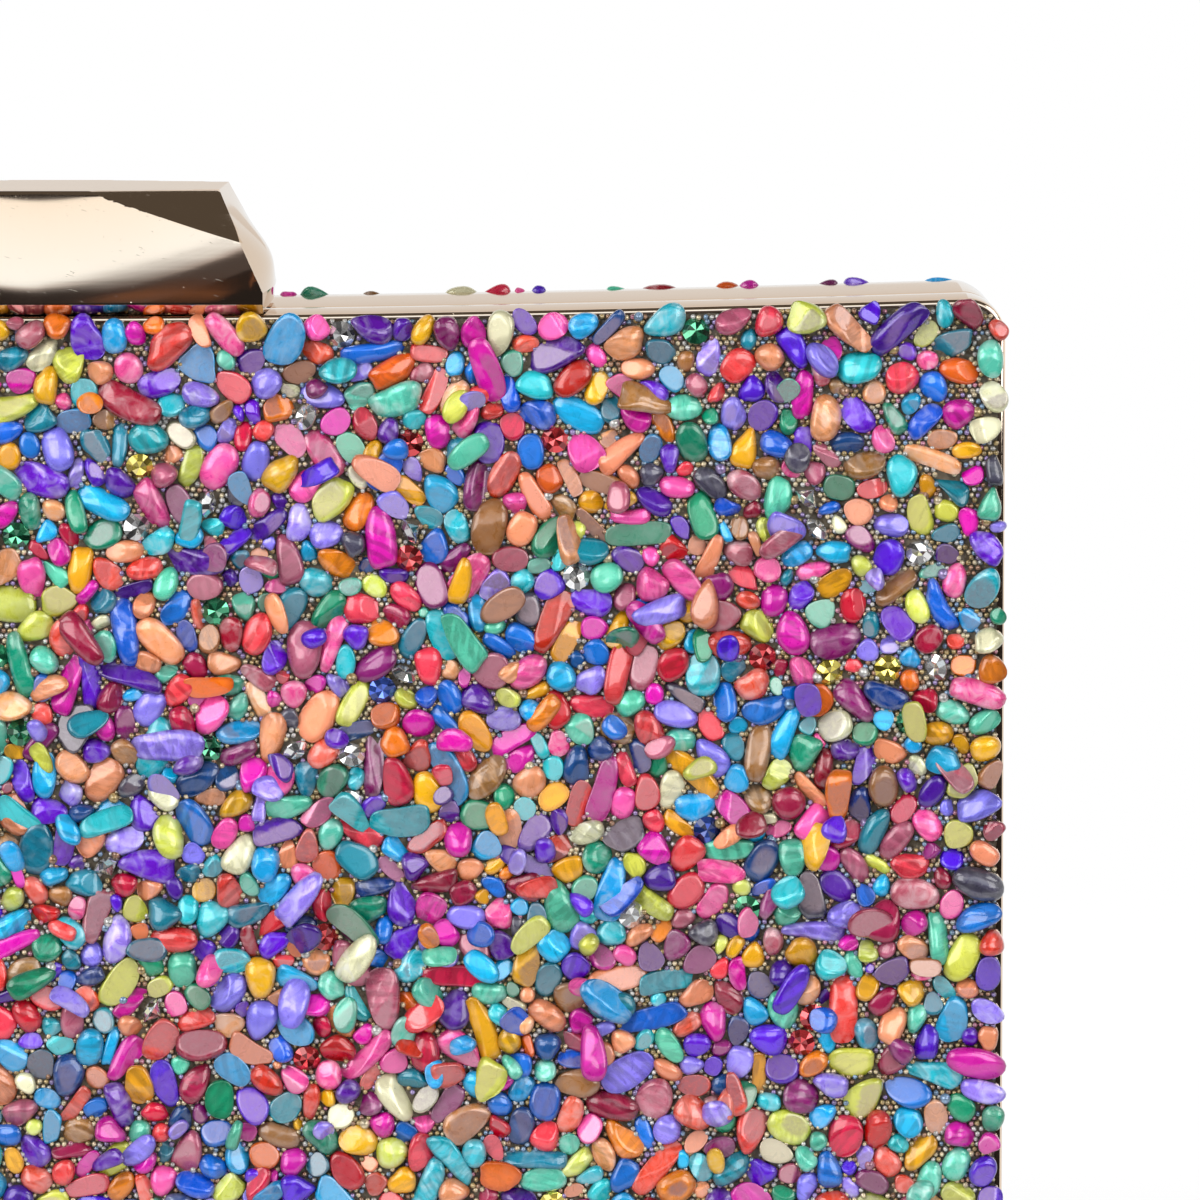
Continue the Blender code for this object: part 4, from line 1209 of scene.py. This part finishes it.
def chip_marks(rng, points, window):
    """What a chip's material reads: its grain, and the crown, the bared cut and the tone of each point."""
    count = len(points)
    one = (count, 1)
    # The crown runs from nought on the chip's sides and underside to one at its top; the material paints
    # shade from it
    crown = np.clip((1 - REACH) / 0.9, 0, 1)
    crown[:2] = 0
    crown = np.broadcast_to(np.append(np.repeat(crown, SEGMENTS), 1.0), (count, points.shape[1]))
    strength = (rng.random(one) < 0.72) * rng.uniform(0.45, 1.0, one)
    window = window.reshape(count, -1)
    window = np.concatenate((window, window[:, -SEGMENTS:].mean(1, keepdims=True)), 1) * strength
    tone = np.broadcast_to(rng.beta(2.2, 2.0, one), crown.shape)
    spin = rng.uniform(0, math.pi, count)[:, None]
    own = rng.uniform(0, 900, count)[:, None]
    u, v = points[..., 0], points[..., 1]
    grain = np.stack((
        u * np.cos(spin) - v * np.sin(spin) + own,
        u * np.sin(spin) + v * np.cos(spin),
        np.broadcast_to(own, u.shape),
    ), -1)
    return grain, np.stack((crown, window, tone), -1)


def lay_chips(field, points):
    """Tips and turns the chips, sets them in their places and sinks them into the resin."""
    rng, upper = field["rng"], field["upper"]
    count = len(points)
    lean = np.where(upper, 0.30, np.where(rng.random(count) < 0.3, 0.26, 0.10))
    most = np.where(upper, 0.85, 0.50)
    tip_u, tip_v = (
        np.clip(rng.normal(0, 1, count) * lean, -most / field[size], most / field[size])[:, None]
        for size in ("long", "short")
    )
    w = points[..., 2] + (points[..., 0] * tip_u + points[..., 1] * tip_v)
    cos_t, sin_t = np.cos(field["turns"])[:, None], np.sin(field["turns"])[:, None]
    u = cos_t * points[..., 0] - sin_t * points[..., 1] + field["places"][:, :1]
    v = sin_t * points[..., 0] + cos_t * points[..., 1] + field["places"][:, 1:]
    inset, _ = inset_of(np.stack((u, v), -1))
    over_rim = inset.min(1) < RIM_MM + 0.1
    sink = -0.34 + rng.uniform(-0.12, 0.14, count)
    sink = np.where(over_rim, 0.04 - np.minimum(w.min(1), 0) * 0.7, sink)
    sink = np.where(upper, rng.uniform(0.50, 0.80, count), sink)
    return np.stack((u, v, w + sink[:, None]), -1)


def chip_shapes(field):
    """Corner points of every chip in (u, v, w), with each point's grain and cut for the material."""
    rng = field["rng"]
    x, y = chip_outlines(field)
    stones = bpy.context.scene.clutch_stones
    thick = np.clip(rng.normal(stones.chip_thickness / MM, 0.25, len(x)), 0.8, 2.1)
    thick = thick * np.clip(field["short"] / (stones.chip_width / MM / 2), 0.62, 1.15) ** 0.6
    unit_u, unit_v = REACH[None, :, None] * x[:, None], REACH[None, :, None] * y[:, None]
    u, v = unit_u * field["long"][:, None, None], unit_v * field["short"][:, None, None]
    top, window = chip_tops(rng, unit_u, unit_v, u, v)
    rings = np.stack((u, v, top * thick[:, None, None]), -1)
    middle = rings[:, -1].mean(1, keepdims=True)
    points = np.concatenate((rings.reshape(len(x), -1, 3), middle), 1)
    grain, cut = chip_marks(rng, points, window)
    return lay_chips(field, points), grain, cut


def chip_faces(many):
    """Corner numbers and face sizes of many chips whose points follow one another."""
    rings = len(REACH)
    each = rings * SEGMENTS + 1
    j = np.arange(SEGMENTS)
    k = (j + 1) % SEGMENTS
    quads = np.concatenate([
        np.stack((r * SEGMENTS + j, r * SEGMENTS + k, (r + 1) * SEGMENTS + k, (r + 1) * SEGMENTS + j), 1)
        for r in range(rings - 1)
    ])
    fan = np.stack(((rings - 1) * SEGMENTS + j, (rings - 1) * SEGMENTS + k, np.full(SEGMENTS, each - 1)), 1)
    corners = np.concatenate((quads.ravel(), fan.ravel(), j[::-1]))
    sizes = np.concatenate((np.full(len(quads), 4), np.full(len(fan), 3), [SEGMENTS]))
    starts = np.arange(many)[:, None] * each
    return (corners[None] + starts).ravel(), np.tile(sizes, many)


def quick_mesh(name, points, corners, sizes):
    """A mesh from arrays: points, the faces' corner numbers in a row, and how many corners each face has."""
    mesh = bpy.data.meshes.new(name)
    mesh.vertices.add(len(points))
    mesh.vertices.foreach_set("co", points.astype(np.float32).ravel())
    mesh.loops.add(len(corners))
    mesh.loops.foreach_set("vertex_index", corners.astype(np.int32))
    mesh.polygons.add(len(sizes))
    starts = np.concatenate(([0], np.cumsum(sizes)[:-1]))
    mesh.polygons.foreach_set("loop_start", starts.astype(np.int32))
    mesh.update(calc_edges=True)
    return mesh


def write_vectors(mesh, name, values):
    made = mesh.attributes.new(name, "FLOAT_VECTOR", "POINT")
    made.data.foreach_set("vector", values.astype(np.float32).ravel())


def shares_of(table, place):
    share = np.array([row[place] for row in table], float)
    return share / share.sum()


class CLUTCH_OT_shell_chips(bpy.types.Operator):
    """Sets the dyed shell chips on both faces, one piece for each dye"""

    bl_idname = "clutch.shell_chips"
    bl_label = "Shell chips"

    def execute(self, context):
        materials = [shell_material(f"shell_{name}", colour, pearl) for name, colour, _, pearl in DYES]
        for side in ("front", "back"):
            field = stone_field(side)
            shapes, grain, cut = chip_shapes(field)
            placed = on_face(side, shapes)
            dye = field["rng"].choice(len(DYES), len(shapes), p=shares_of(DYES, 2))
            for i, (name, _, _, _) in enumerate(DYES):
                mine = dye == i
                points = placed[mine].reshape(-1, 3)
                mesh = quick_mesh(f"{side}_chips_{name}", points, *chip_faces(int(mine.sum())))
                write_vectors(mesh, "grain", grain[mine].reshape(-1, 3))
                write_vectors(mesh, "cut", cut[mine].reshape(-1, 3))
                link_piece(f"{side}_chips_{name}", mesh, materials[i], BODY[side], 0)
        return {"FINISHED"}


class CLUTCH_OT_resin_beds(bpy.types.Operator):
    """Fills each frame with the dark resin that the stones are set in"""

    bl_idname = "clutch.resin_beds"
    bl_label = "Resin beds"

    def execute(self, context):
        resin = resin_material("dark_resin", context.scene.clutch_stones.resin_and_gap_shade_colour)
        for side in ("front", "back"):
            rows = [(FLANGE_BACK, FLANGE_INSET + FIT), (BEVEL_DEPTH - BED_GAP, FLANGE_INSET + FIT)]
            for depth in (BEVEL_DEPTH - BED_GAP, RESIN_LEVEL):
                rows.append((depth, RIM_INNER + BEVEL_RISE * depth / BEVEL_DEPTH + BED_GAP))
            mesh = loft(f"{side}_resin_bed", [layer(side, d, outline(inset)) for d, inset in rows])
            piece = link_piece(f"{side}_resin_bed", mesh, resin, BODY[side])
            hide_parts(f"{side}_stone_bed")
        return {"FINISHED"}


# Micro-beads, in mm
CELL = 0.1
UNDER_CHIPS = 0.15
CUT_STONE_ROOM = 1.35
BEAD_GAP = 0.03
BEAD_JITTER = 0.055
BEAD_INSET = 0.12
MISSING_SHARE = 0.06
PEARL_SHARE = 0.012


def free_spots(field, pitch, rng):
    """Jittered places, in mm, that no chip or cut stone of the lower layer covers."""
    lower = ~field["upper"]
    items = [*zip(*(field[key][lower] for key in ("places", "turns", "long", "short")))]
    items += [(place, 0.0, CUT_STONE_ROOM, CUT_STONE_ROOM) for place in field["cut"]]
    taken = covered_cells(items, CELL, UNDER_CHIPS)
    tall, wide = taken.shape
    across = np.arange(-HALF_MM + 1, HALF_MM - 1, pitch)
    up = np.arange(1, HEIGHT_MM - 1, pitch * math.sqrt(0.75))
    gu, gv = np.meshgrid(across, up)
    gu[1::2] += pitch / 2
    spots = np.stack((gu.ravel(), gv.ravel()), 1) + rng.normal(0, BEAD_JITTER, (gu.size, 2))
    inset, _ = inset_of(spots)
    keep = (inset > RIM_MM + BEAD_INSET) & (rng.random(len(spots)) > MISSING_SHARE)
    for du, dv in ((0, 0), (CELL, 0), (-CELL, 0), (0, CELL), (0, -CELL)):
        col = ((spots[:, 0] + du + HALF_MM) / CELL).round().astype(int).clip(0, wide - 1)
        row = ((spots[:, 1] + dv) / CELL).round().astype(int).clip(0, tall - 1)
        keep &= ~taken[row, col]
    return spots[keep]


def round_ball():
    bm = bmesh.new()
    bmesh.ops.create_icosphere(bm, subdivisions=2, radius=1.0)
    points = np.array([v.co for v in bm.verts])
    faces = np.array([[v.index for v in f.verts] for f in bm.faces])
    bm.free()
    return points, faces


def scatter(shape, places, sizes):
    """Copies a small shape to places, as one set of points and faces."""
    points, faces = shape
    spread = points[None] * sizes[:, None, None] + places[:, None]
    steps = (np.arange(len(places)) * len(points))[:, None, None]
    return spread, (faces[None] + steps).reshape(-1, faces.shape[1])


class CLUTCH_OT_micro_beads(bpy.types.Operator):
    """Fills the gaps between the chips with plated micro-beads, one piece for each finish"""

    bl_idname = "clutch.micro_beads"
    bl_label = "Micro-beads"

    def execute(self, context):
        radius = context.scene.clutch_stones.bead_diameter / MM / 2
        materials = [bead_material(f"bead_{name}", colour) for name, colour, _ in BEAD_FINISHES]
        ball = round_ball()
        for side in ("front", "back"):
            rng = draws_for("beads", side)
            spots = free_spots(stone_field(side), 2 * radius + BEAD_GAP, rng)
            finish = rng.choice(len(BEAD_FINISHES), len(spots), p=shares_of(BEAD_FINISHES, 2))
            size = rng.normal(radius, 0.018, len(spots)).clip(radius * 0.8, radius * 1.2)
            pearls = rng.random(len(spots)) < PEARL_SHARE
            size = np.where(pearls, radius * rng.uniform(1.7, 2.2, len(spots)), size)
            level = -RESIN_LEVEL / MM + size * 0.70 + rng.uniform(-0.03, 0.08, len(spots))
            centres = np.concatenate((spots, level[:, None]), 1)
            for i, (name, _, _) in enumerate(BEAD_FINISHES):
                mine = np.flatnonzero(finish == i)
                halves = {"": mine}
                if len(mine) > MOST_BEADS:
                    left = centres[mine, 0] < 0
                    halves = {"_left": mine[left], "_right": mine[~left]}
                for half, beads in halves.items():
                    label = f"{side}_beads_{name}{half}"
                    points, faces = scatter(ball, centres[beads], size[beads])
                    placed = on_face(side, points).reshape(-1, 3)
                    mesh = quick_mesh(label, placed, faces.ravel(), np.full(len(faces), 3))
                    link_piece(label, mesh, materials[i], BODY[side], 0)
        return {"FINISHED"}


# Rings of a cut stone of radius one: radius, height, corners and turn, as a share of the step between corners
STONE_RINGS = ((0.56, 0.42, 8, 0.0), (1.0, 0.10, 16, 0.5), (1.0, 0.0, 16, 0.5))
TABLE_HEIGHT = 0.22
TIP_HEIGHT = -0.85

# Painted reflections of the facets: how bright each is painted, in the order in which they repeat round the
# stone
TABLE_SPARKS = (0.95, 0.12, 0.7, 0.28)
STAR_SPARKS = (0.5, 0.9)
CROWN_SPARKS = (0.85, 0.1, 0.6, 0.25)
GIRDLE_SPARK = 0.3
TIP_SPARKS = (0.15, 0.95, 0.5, 0.75)


def cut_stone_shape():
    """A round stone of radius one with table, star and crown facets, girdle and tip, and each facet's painted
    reflection.
    """
    points = [(0, 0, TABLE_HEIGHT)]
    for radius, height, count, turn in STONE_RINGS:
        points += [(x, y, height) for x, y in circle((0, 0), radius, count, 2 * math.pi * turn / count)]
    points.append((0, 0, TIP_HEIGHT))
    table, crown, girdle, tip = 1, 9, 25, 41
    faces, painted_glints = [], []
    for i in range(8):
        a, b = table + i, table + (i + 1) % 8
        c, d, e = (crown + (2 * i + k) % 16 for k in (-1, 0, 1))
        faces += [(0, a, b), (a, c, d), (a, d, e, b)]
        painted_glints += [TABLE_SPARKS[i % 4], STAR_SPARKS[i % 2], CROWN_SPARKS[i % 4]]
    for i in range(16):
        j = (i + 1) % 16
        faces += [(crown + i, girdle + i, girdle + j, crown + j), (girdle + i, tip, girdle + j)]
        painted_glints += [GIRDLE_SPARK, TIP_SPARKS[i % 4]]
    return np.array(points, float), faces, painted_glints


class CLUTCH_OT_cut_stones(bpy.types.Operator):
    """Sets the foil-backed cut stones between the chips, one piece for each colour"""

    bl_idname = "clutch.cut_stones"
    bl_label = "Cut stones"

    def execute(self, context):
        stones = context.scene.clutch_stones
        radius = stones.cut_stone_diameter / MM / 2
        points, faces, painted_glints = cut_stone_shape()
        materials = [cut_stone_material(f"stone_{name}", colour) for name, colour, _, _ in CUT_STONES]
        for side in ("front", "back"):
            places = stone_field(side)["cut"]
            rng = draws_for("cut", side)
            kind = rng.choice(len(CUT_STONES), len(places), p=shares_of(CUT_STONES, 2))
            for i, (name, _, _, lean) in enumerate(CUT_STONES):
                placed, joined, bright = [], [], []
                for place in places[kind == i]:
                    axis = Vector((*rng.normal(0, 1, 2), 0)).normalized()
                    angle = rng.uniform(0, lean) ** 0.8 * 1.5
                    turn = Matrix.Rotation(angle, 3, axis) @ Matrix.Rotation(rng.uniform(0, 6.3), 3, "Z")
                    level = 0.10 + 0.45 * math.sin(min(angle, 1.3))
                    stone = points @ np.array(turn).T * radius + (*place, level)
                    start = len(placed) * len(points)
                    placed.append(stone)
                    joined += [tuple(start + k for k in face) for face in faces]
                    # Each stone shifts its facets' painted reflections a little brighter or darker
                    shift = rng.uniform(-0.15, 0.15)
                    bright += [min(1, max(0, s + shift)) for s in painted_glints]
                spots = on_face(side, np.array(placed).reshape(-1, 3))
                mesh = mesh_from(f"{side}_cut_{name}", spots.tolist(), joined)
                facing_out(mesh)
                made = mesh.attributes.new("painted_facet_glint", "FLOAT", "FACE")
                made.data.foreach_set("value", np.array(bright, np.float32))
                link_piece(f"{side}_cut_{name}", mesh, materials[i], BODY[side], 2.0)
        return {"FINISHED"}


# Linings

# Rings of a pad: inset, and height as a share of its thickness
PAD_RINGS = ((0, 0.0), (0, 0.45), (0.0012, 0.74), (0.003, 0.88), (0.006, 0.95), (0.012, 0.98))
PAD_CORNER = 0.002
PAD_RIPPLE = 0.00004
RIPPLE_FROM = 0.5

# The strip's rolled edge: how far back from it, and how far inwards
STRIP_EDGE = ((0.0004, 0.0), (0.0001, 0.0002), (0, 0.0005), (0.0001, 0.0008), (0.0004, 0.0010))
STRIP_THICKNESS = 0.0010
STRIP_CORNER = 0.0020


def soft_ripple(x, z):
    """A gentle unevenness of drawn cloth."""
    broad = math.sin(x * 61 + z * 23) * math.sin(z * 88 + 0.7)
    return PAD_RIPPLE * (broad + 0.6 * math.sin(x * 143 - z * 37 + 1.1) * math.sin(z * 171))


def satin_piece(kind, side, loops, satin, angle):
    """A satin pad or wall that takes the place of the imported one."""
    mesh = loft(f"{side}_satin_{kind}", loops, ring=kind == "wall")
    piece = link_piece(mesh.name, mesh, satin, BODY[side], angle)
    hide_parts(f"{side}_lining_{kind}")
    return piece


def satin_pad(side, satin):
    """The padded satin back of a shell."""
    low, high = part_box(f"{side}_lining_pad")
    thick = high.y - low.y
    start = low.y if side == "front" else high.y
    inset_side = HALF_WIDTH - high.x
    loops = []
    for inset, rise in PAD_RINGS:
        points = outline(inset_side + inset, low.z + inset, HEIGHT - high.z + inset, PAD_CORNER + inset)
        loops.append([
            (x, start - OUTWARD[side] * (thick * rise + (soft_ripple(x, z) if rise > RIPPLE_FROM else 0)), z)
            for x, z in points
        ])
    satin_piece("pad", side, loops, satin, 60.0)


def satin_wall(side, satin):
    """The satin-covered strip round the inside of a shell."""
    low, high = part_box(f"{side}_lining_wall")
    deep = high.y - low.y
    start = low.y if side == "front" else high.y
    section = [(0.0, 0.0), *((deep - back, inward) for back, inward in STRIP_EDGE)]
    section += [(deep * 0.5, STRIP_THICKNESS), (0.0, STRIP_THICKNESS)]
    loops = []
    for along, inward in section:
        points = outline(HALF_WIDTH - high.x + inward, low.z + inward, HEIGHT - high.z + inward, STRIP_CORNER)
        loops.append([(x, start - OUTWARD[side] * along, z) for x, z in points])
    satin_piece("wall", side, loops, satin, 50.0)


class CLUTCH_OT_linings(bpy.types.Operator):
    """Makes the padded satin back of each shell and the satin-covered strip round its inside"""

    bl_idname = "clutch.linings"
    bl_label = "Linings"

    def execute(self, context):
        lining = context.scene.clutch_lining
        satin = satin_material("champagne_satin", lining.satin_colour, lining.thread_pitch)
        for side in ("front", "back"):
            satin_pad(side, satin)
            satin_wall(side, satin)
        return {"FINISHED"}


# Hardware

class CLUTCH_OT_hardware(bpy.types.Operator):
    """Gives the boards, hinge, pins, rivets, springs and catch their finishes"""

    bl_idname = "clutch.hardware"
    bl_label = "Hardware"

    def execute(self, context):
        metal = context.scene.clutch_metal
        steel = steel_material("plated_steel", metal.steel_colour, 0.26, 1.0)
        spring = steel_material("blued_spring_steel", metal.spring_colour, 0.30, 0.6)
        board = board_material("fibre_board", (0.13, 0.11, 0.095))
        finishes = {"front_panel": board, "back_panel": board}
        finishes |= {"clasp_return_spring": spring, "catch_tongue": spring}
        for name in ("front_hinge_leaf", "back_hinge_leaf", "hinge_pin", "clasp_base", "clasp_pin"):
            finishes[name] = steel
        for kind in ("base", "tongue"):
            finishes[f"{kind}_rivet_left"] = finishes[f"{kind}_rivet_right"] = steel
        for name, finish in finishes.items():
            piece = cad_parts[name]
            piece.data.materials.clear()
            piece.data.materials.append(finish)
        return {"FINISHED"}


# Stage

# Soft lamps: name, place, width and height, and power as a share of the main one
LAMPS = (
    ("top_lamp", (-0.25, -0.75, 1.25), (0.9, 0.7), 1.0),
    ("left_lamp", (-1.1, -1.25, 0.55), (0.5, 0.5), 0.75),
    ("right_lamp", (1.1, -1.25, 0.45), (0.5, 0.5), 0.45),
    ("back_lamp_left", (-0.75, 1.25, 0.75), (0.6, 0.6), 0.8),
    ("back_lamp_right", (0.75, 1.25, 0.75), (0.6, 0.6), 0.8),
)
LAMP_AIM = Vector((0, 0, 0.06))

# Glows of the cards that reflections see: colour and strength
GLOWS = {
    "overhead_flag": ((0.10, 0.083, 0.064), 1.0),
    "front_flag": ((0.024, 0.020, 0.018), 1.0),
    "spark_card": ((1.0, 0.99, 0.97), 4.4),
    "rear_card": ((1.0, 0.99, 0.97), 1.6),
    "back_card": ((0.82, 0.775, 0.72), 1.0),
    "brown_card": ((0.32, 0.13, 0.058), 1.0),
    "brown_veil": ((0.065, 0.032, 0.021), 1.0),
    "low_card": ((0.955, 0.99, 1.01), 1.0),
}

# Level cards: name, glow, half width, and the near and the far edge as (y, z)
LEVEL_CARDS = (
    ("overhead_flag", "overhead_flag", 1.6, (-1.8, 0.9), (0.2, 0.75)),
    ("floor_flag", "front_flag", 1.8, (-1.7, 0.001), (-0.1, 0.001)),
)

# Upright cards: name, y, and corners as (x, z)
UPRIGHT_CARDS = (
    ("front_flag", -1.7, ((-2.2, -0.1), (2.2, -0.1), (2.2, 1.2), (-2.2, 1.2))),
    ("brown_card", -0.70, ((-0.038, 0.115), (0.0115, 0.0268), (0.0175, 0.0105), (-0.0355, 0.0985))),
    ("brown_veil", -0.705, ((-0.0432, 0.1405), (0.0032, 0.0516), (0.0195, 0.005), (-0.035, 0.094))),
    ("back_card", 1.6, ((-2.5, 0), (2.5, 0), (2.5, 0.9), (-2.5, 0.9))),
    ("low_card", 1.5, ((-0.5, 0.01), (0.8, 0.01), (0.8, 0.36), (0.175, 0.36), (0.175, 0.17), (-0.5, 0.17))),
    ("front_card", -1.4, ((-0.75, 0.01), (0.6, 0.01), (0.6, 0.66), (-0.75, 0.71))),
)

# Cards at the sides: name, inner and outer x, and lowest and highest z
SIDE_CARDS = (("left", -0.42, -1.15, 0.05, 0.85), ("right", 0.55, 1.15, 0.02, 0.70))

FLOOR_HALF = 6.0
FLOOR_LEVEL = -0.0002
PAPER = (0.88, 0.88, 0.88, 1)
SENSOR_WIDTH = 36.0


def glow_material(name, colour, strength):
    made, tree = start_material(name)
    to_surface(tree, node(tree, "Emission", {"Color": (*colour, 1), "Strength": strength}))
    return made


def front_card_material():
    """The main card's light: its lower edge is sharp on the left and fades in streaks towards the right."""
    made, tree = start_material("bright_card")
    place = own_place(tree)
    split = node(tree, "SeparateXYZ", {"Vector": place}).outputs
    streaks = noise(tree, mapped(tree, place, (2, 2, 60)), 1.0, 3.0)
    width = scaled(tree, split["X"], -0.10, -0.06, 0.035, 0.08)
    raised = maths(tree, "SUBTRACT", split["Z"], scaled(tree, split["X"], -0.13, -0.08, 0.256, 0.146))
    share = maths(tree, "DIVIDE", raised, width)
    share = maths(tree, "ADD", share, scaled(tree, streaks, 0.3, 0.7, 0.27, 0.73))
    dim = scaled(tree, split["X"], -0.09, -0.07, 0.03, 0.09)
    strength = maths(tree, "MAXIMUM", scaled(tree, share, 0.0, 1.0, 0.0, 1.32, "SMOOTHSTEP"), dim)
    tint = blend_colours(tree, scaled(tree, split["Z"], 0.22, 0.66), (1.0, 1.12, 1.20), (1.0, 0.995, 0.95))
    tint = blend_colours(tree, scaled(tree, share, 0.2, 0.9), (1.0, 0.85, 0.80), tint)
    to_surface(tree, node(tree, "Emission", {"Color": tint, "Strength": strength}))
    return made


def seen_directly(tree):
    """One for rays of the camera, of reflections and through clear pieces, and zero for those that light."""
    path = node(tree, "LightPath").outputs
    seen = maths(tree, "MAXIMUM", path["Is Camera Ray"], path["Is Glossy Ray"])
    return maths(tree, "MAXIMUM", seen, path["Is Transmission Ray"])


def stage_sheet(name, corners, material):
    """A flat piece of the stage, which is no part of the clutch."""
    made = bpy.data.objects.new(name, mesh_from(name, corners, [tuple(range(len(corners)))]))
    made.data.materials.append(material)
    bpy.context.scene.collection.objects.link(made)
    return made


def card(name, corners, material):
    """A flat card that only reflections see."""
    made = stage_sheet(name, corners, material)
    made.visible_camera = made.visible_diffuse = made.visible_shadow = made.visible_transmission = False


def set_room(fill):
    """A white room that lights the object only softly."""
    world = bpy.data.worlds.new("studio_room")
    bpy.context.scene.world = world
    world.use_nodes = True
    tree = world.node_tree
    tree.nodes.clear()
    strength = scaled(tree, seen_directly(tree), 0.0, 1.0, fill, 1.0)
    sky = node(tree, "Background", {"Color": (1, 1, 1, 1), "Strength": strength})
    to_surface(tree, sky, "OutputWorld")


def set_floor():
    """A paper floor with the object's shadow, which turns white further out."""
    made, tree = start_material("studio_floor")
    paper = node(tree, "BsdfDiffuse", {"Color": PAPER})
    white = node(tree, "Emission", {"Color": (1, 1, 1, 1), "Strength": 1.0})
    far = node(tree, "VectorMath", {0: own_place(tree)}, operation="LENGTH").outputs["Value"]
    share = product(tree, seen_directly(tree), scaled(tree, far, 0.12, 0.50, 0.80, 1.0, "SMOOTHSTEP"))
    to_surface(tree, node(tree, "MixShader", {0: share, 1: paper.outputs[0], 2: white.outputs[0]}))
    corners = [(x * FLOOR_HALF, y * FLOOR_HALF, FLOOR_LEVEL) for x, y in ((-1, -1), (1, -1), (1, 1), (-1, 1))]
    stage_sheet("studio_floor", corners, made)


def set_lamps(key):
    for name, place, size, share in LAMPS:
        light = bpy.data.lights.new(name, "AREA")
        light.shape, light.size, light.size_y = "RECTANGLE", *size
        light.energy = key * share
        made = bpy.data.objects.new(name, light)
        made.location = place
        made.rotation_euler = (LAMP_AIM - Vector(place)).to_track_quat("-Z", "Y").to_euler()
        made.visible_camera = made.visible_glossy = False
        bpy.context.scene.collection.objects.link(made)


def set_cards():
    glows = {name: glow_material(name, colour, strength) for name, (colour, strength) in GLOWS.items()}
    glows["front_card"] = front_card_material()
    for name, glow, half, near, far in LEVEL_CARDS:
        card(name, [(-half, *near), (half, *near), (half, *far), (-half, *far)], glows[glow])
    for name, y, corners in UPRIGHT_CARDS:
        card(name, [(x, y, z) for x, z in corners], glows[name])
    for side, near, far, low, high in SIDE_CARDS:
        corners = [(near, -1.25, low), (far, -0.95, low), (far, -0.95, high), (near, -1.25, high)]
        card(f"spark_card_{side}", corners, glows["spark_card"])
        corners = [(near, -1.0, 0.86), (far, -0.8, 0.86), (far, -0.25, 0.66), (near, -0.25, 0.66)]
        card(f"high_card_{side}", corners, glows["spark_card"])
        corners = [(near, 1.2, low), (far, 0.9, low), (far, 0.9, high), (near, 1.2, high)]
        card(f"rear_card_{side}", corners, glows["rear_card"])


def set_camera(settings):
    data = bpy.data.cameras.new("camera")
    data.lens, data.sensor_width = settings.camera_lens, SENSOR_WIDTH
    camera = bpy.data.objects.new("camera", data)
    camera.location = settings.camera_place
    camera.rotation_euler = (math.pi / 2 - settings.camera_pitch, 0, 0)
    bpy.context.scene.collection.objects.link(camera)
    bpy.context.scene.camera = camera


class CLUTCH_OT_stage(bpy.types.Operator):
    """Sets up the pale floor, the soft lamps, the reflection cards and the camera"""

    bl_idname = "clutch.stage"
    bl_label = "Stage"

    def execute(self, context):
        settings = context.scene.clutch_stage
        set_room(settings.fill)
        set_floor()
        set_lamps(settings.key)
        set_cards()
        set_camera(settings)
        context.scene.view_settings.view_transform = "Standard"
        return {"FINISHED"}


class CLUTCH_PT_panel(bpy.types.Panel):
    """Lists the clutch's pieces and their settings"""

    bl_idname = "CLUTCH_PT_panel"
    bl_label = "Box clutch"
    bl_space_type = "VIEW_3D"
    bl_region_type = "UI"
    bl_category = "Clutch"

    def draw(self, context):
        for group in ("clutch_stones", "clutch_metal", "clutch_lining", "clutch_stage"):
            box = self.layout.box()
            settings = getattr(context.scene, group)
            for name in settings.bl_rna.properties.keys():
                if name not in ("rna_type", "name"):
                    box.prop(settings, name)
        for operator in OPERATORS:
            self.layout.operator(operator.bl_idname)


OPERATORS = (
    CLUTCH_OT_stage,
    CLUTCH_OT_frame_bands,
    CLUTCH_OT_clasp_bar,
    CLUTCH_OT_resin_beds,
    CLUTCH_OT_shell_chips,
    CLUTCH_OT_micro_beads,
    CLUTCH_OT_cut_stones,
    CLUTCH_OT_linings,
    CLUTCH_OT_hardware,
)
SETTINGS = (
    ("clutch_stones", ClutchStoneSettings),
    ("clutch_metal", ClutchMetalSettings),
    ("clutch_lining", ClutchLiningSettings),
    ("clutch_stage", ClutchStageSettings),
)


def register():
    for name, group in SETTINGS:
        bpy.utils.register_class(group)
        setattr(bpy.types.Scene, name, bpy.props.PointerProperty(type=group))
    for item in (*OPERATORS, CLUTCH_PT_panel):
        bpy.utils.register_class(item)


def unregister():
    for item in reversed((*OPERATORS, CLUTCH_PT_panel)):
        bpy.utils.unregister_class(item)
    for name, group in reversed(SETTINGS):
        delattr(bpy.types.Scene, name)
        bpy.utils.unregister_class(group)


def main():
    register()
    for operator in OPERATORS:
        group, name = operator.bl_idname.split(".")
        result = getattr(getattr(bpy.ops, group), name)()
        if result != {"FINISHED"}:
            raise RuntimeError(f"{operator.bl_label} did not finish")


if __name__ == "__main__":
    main()
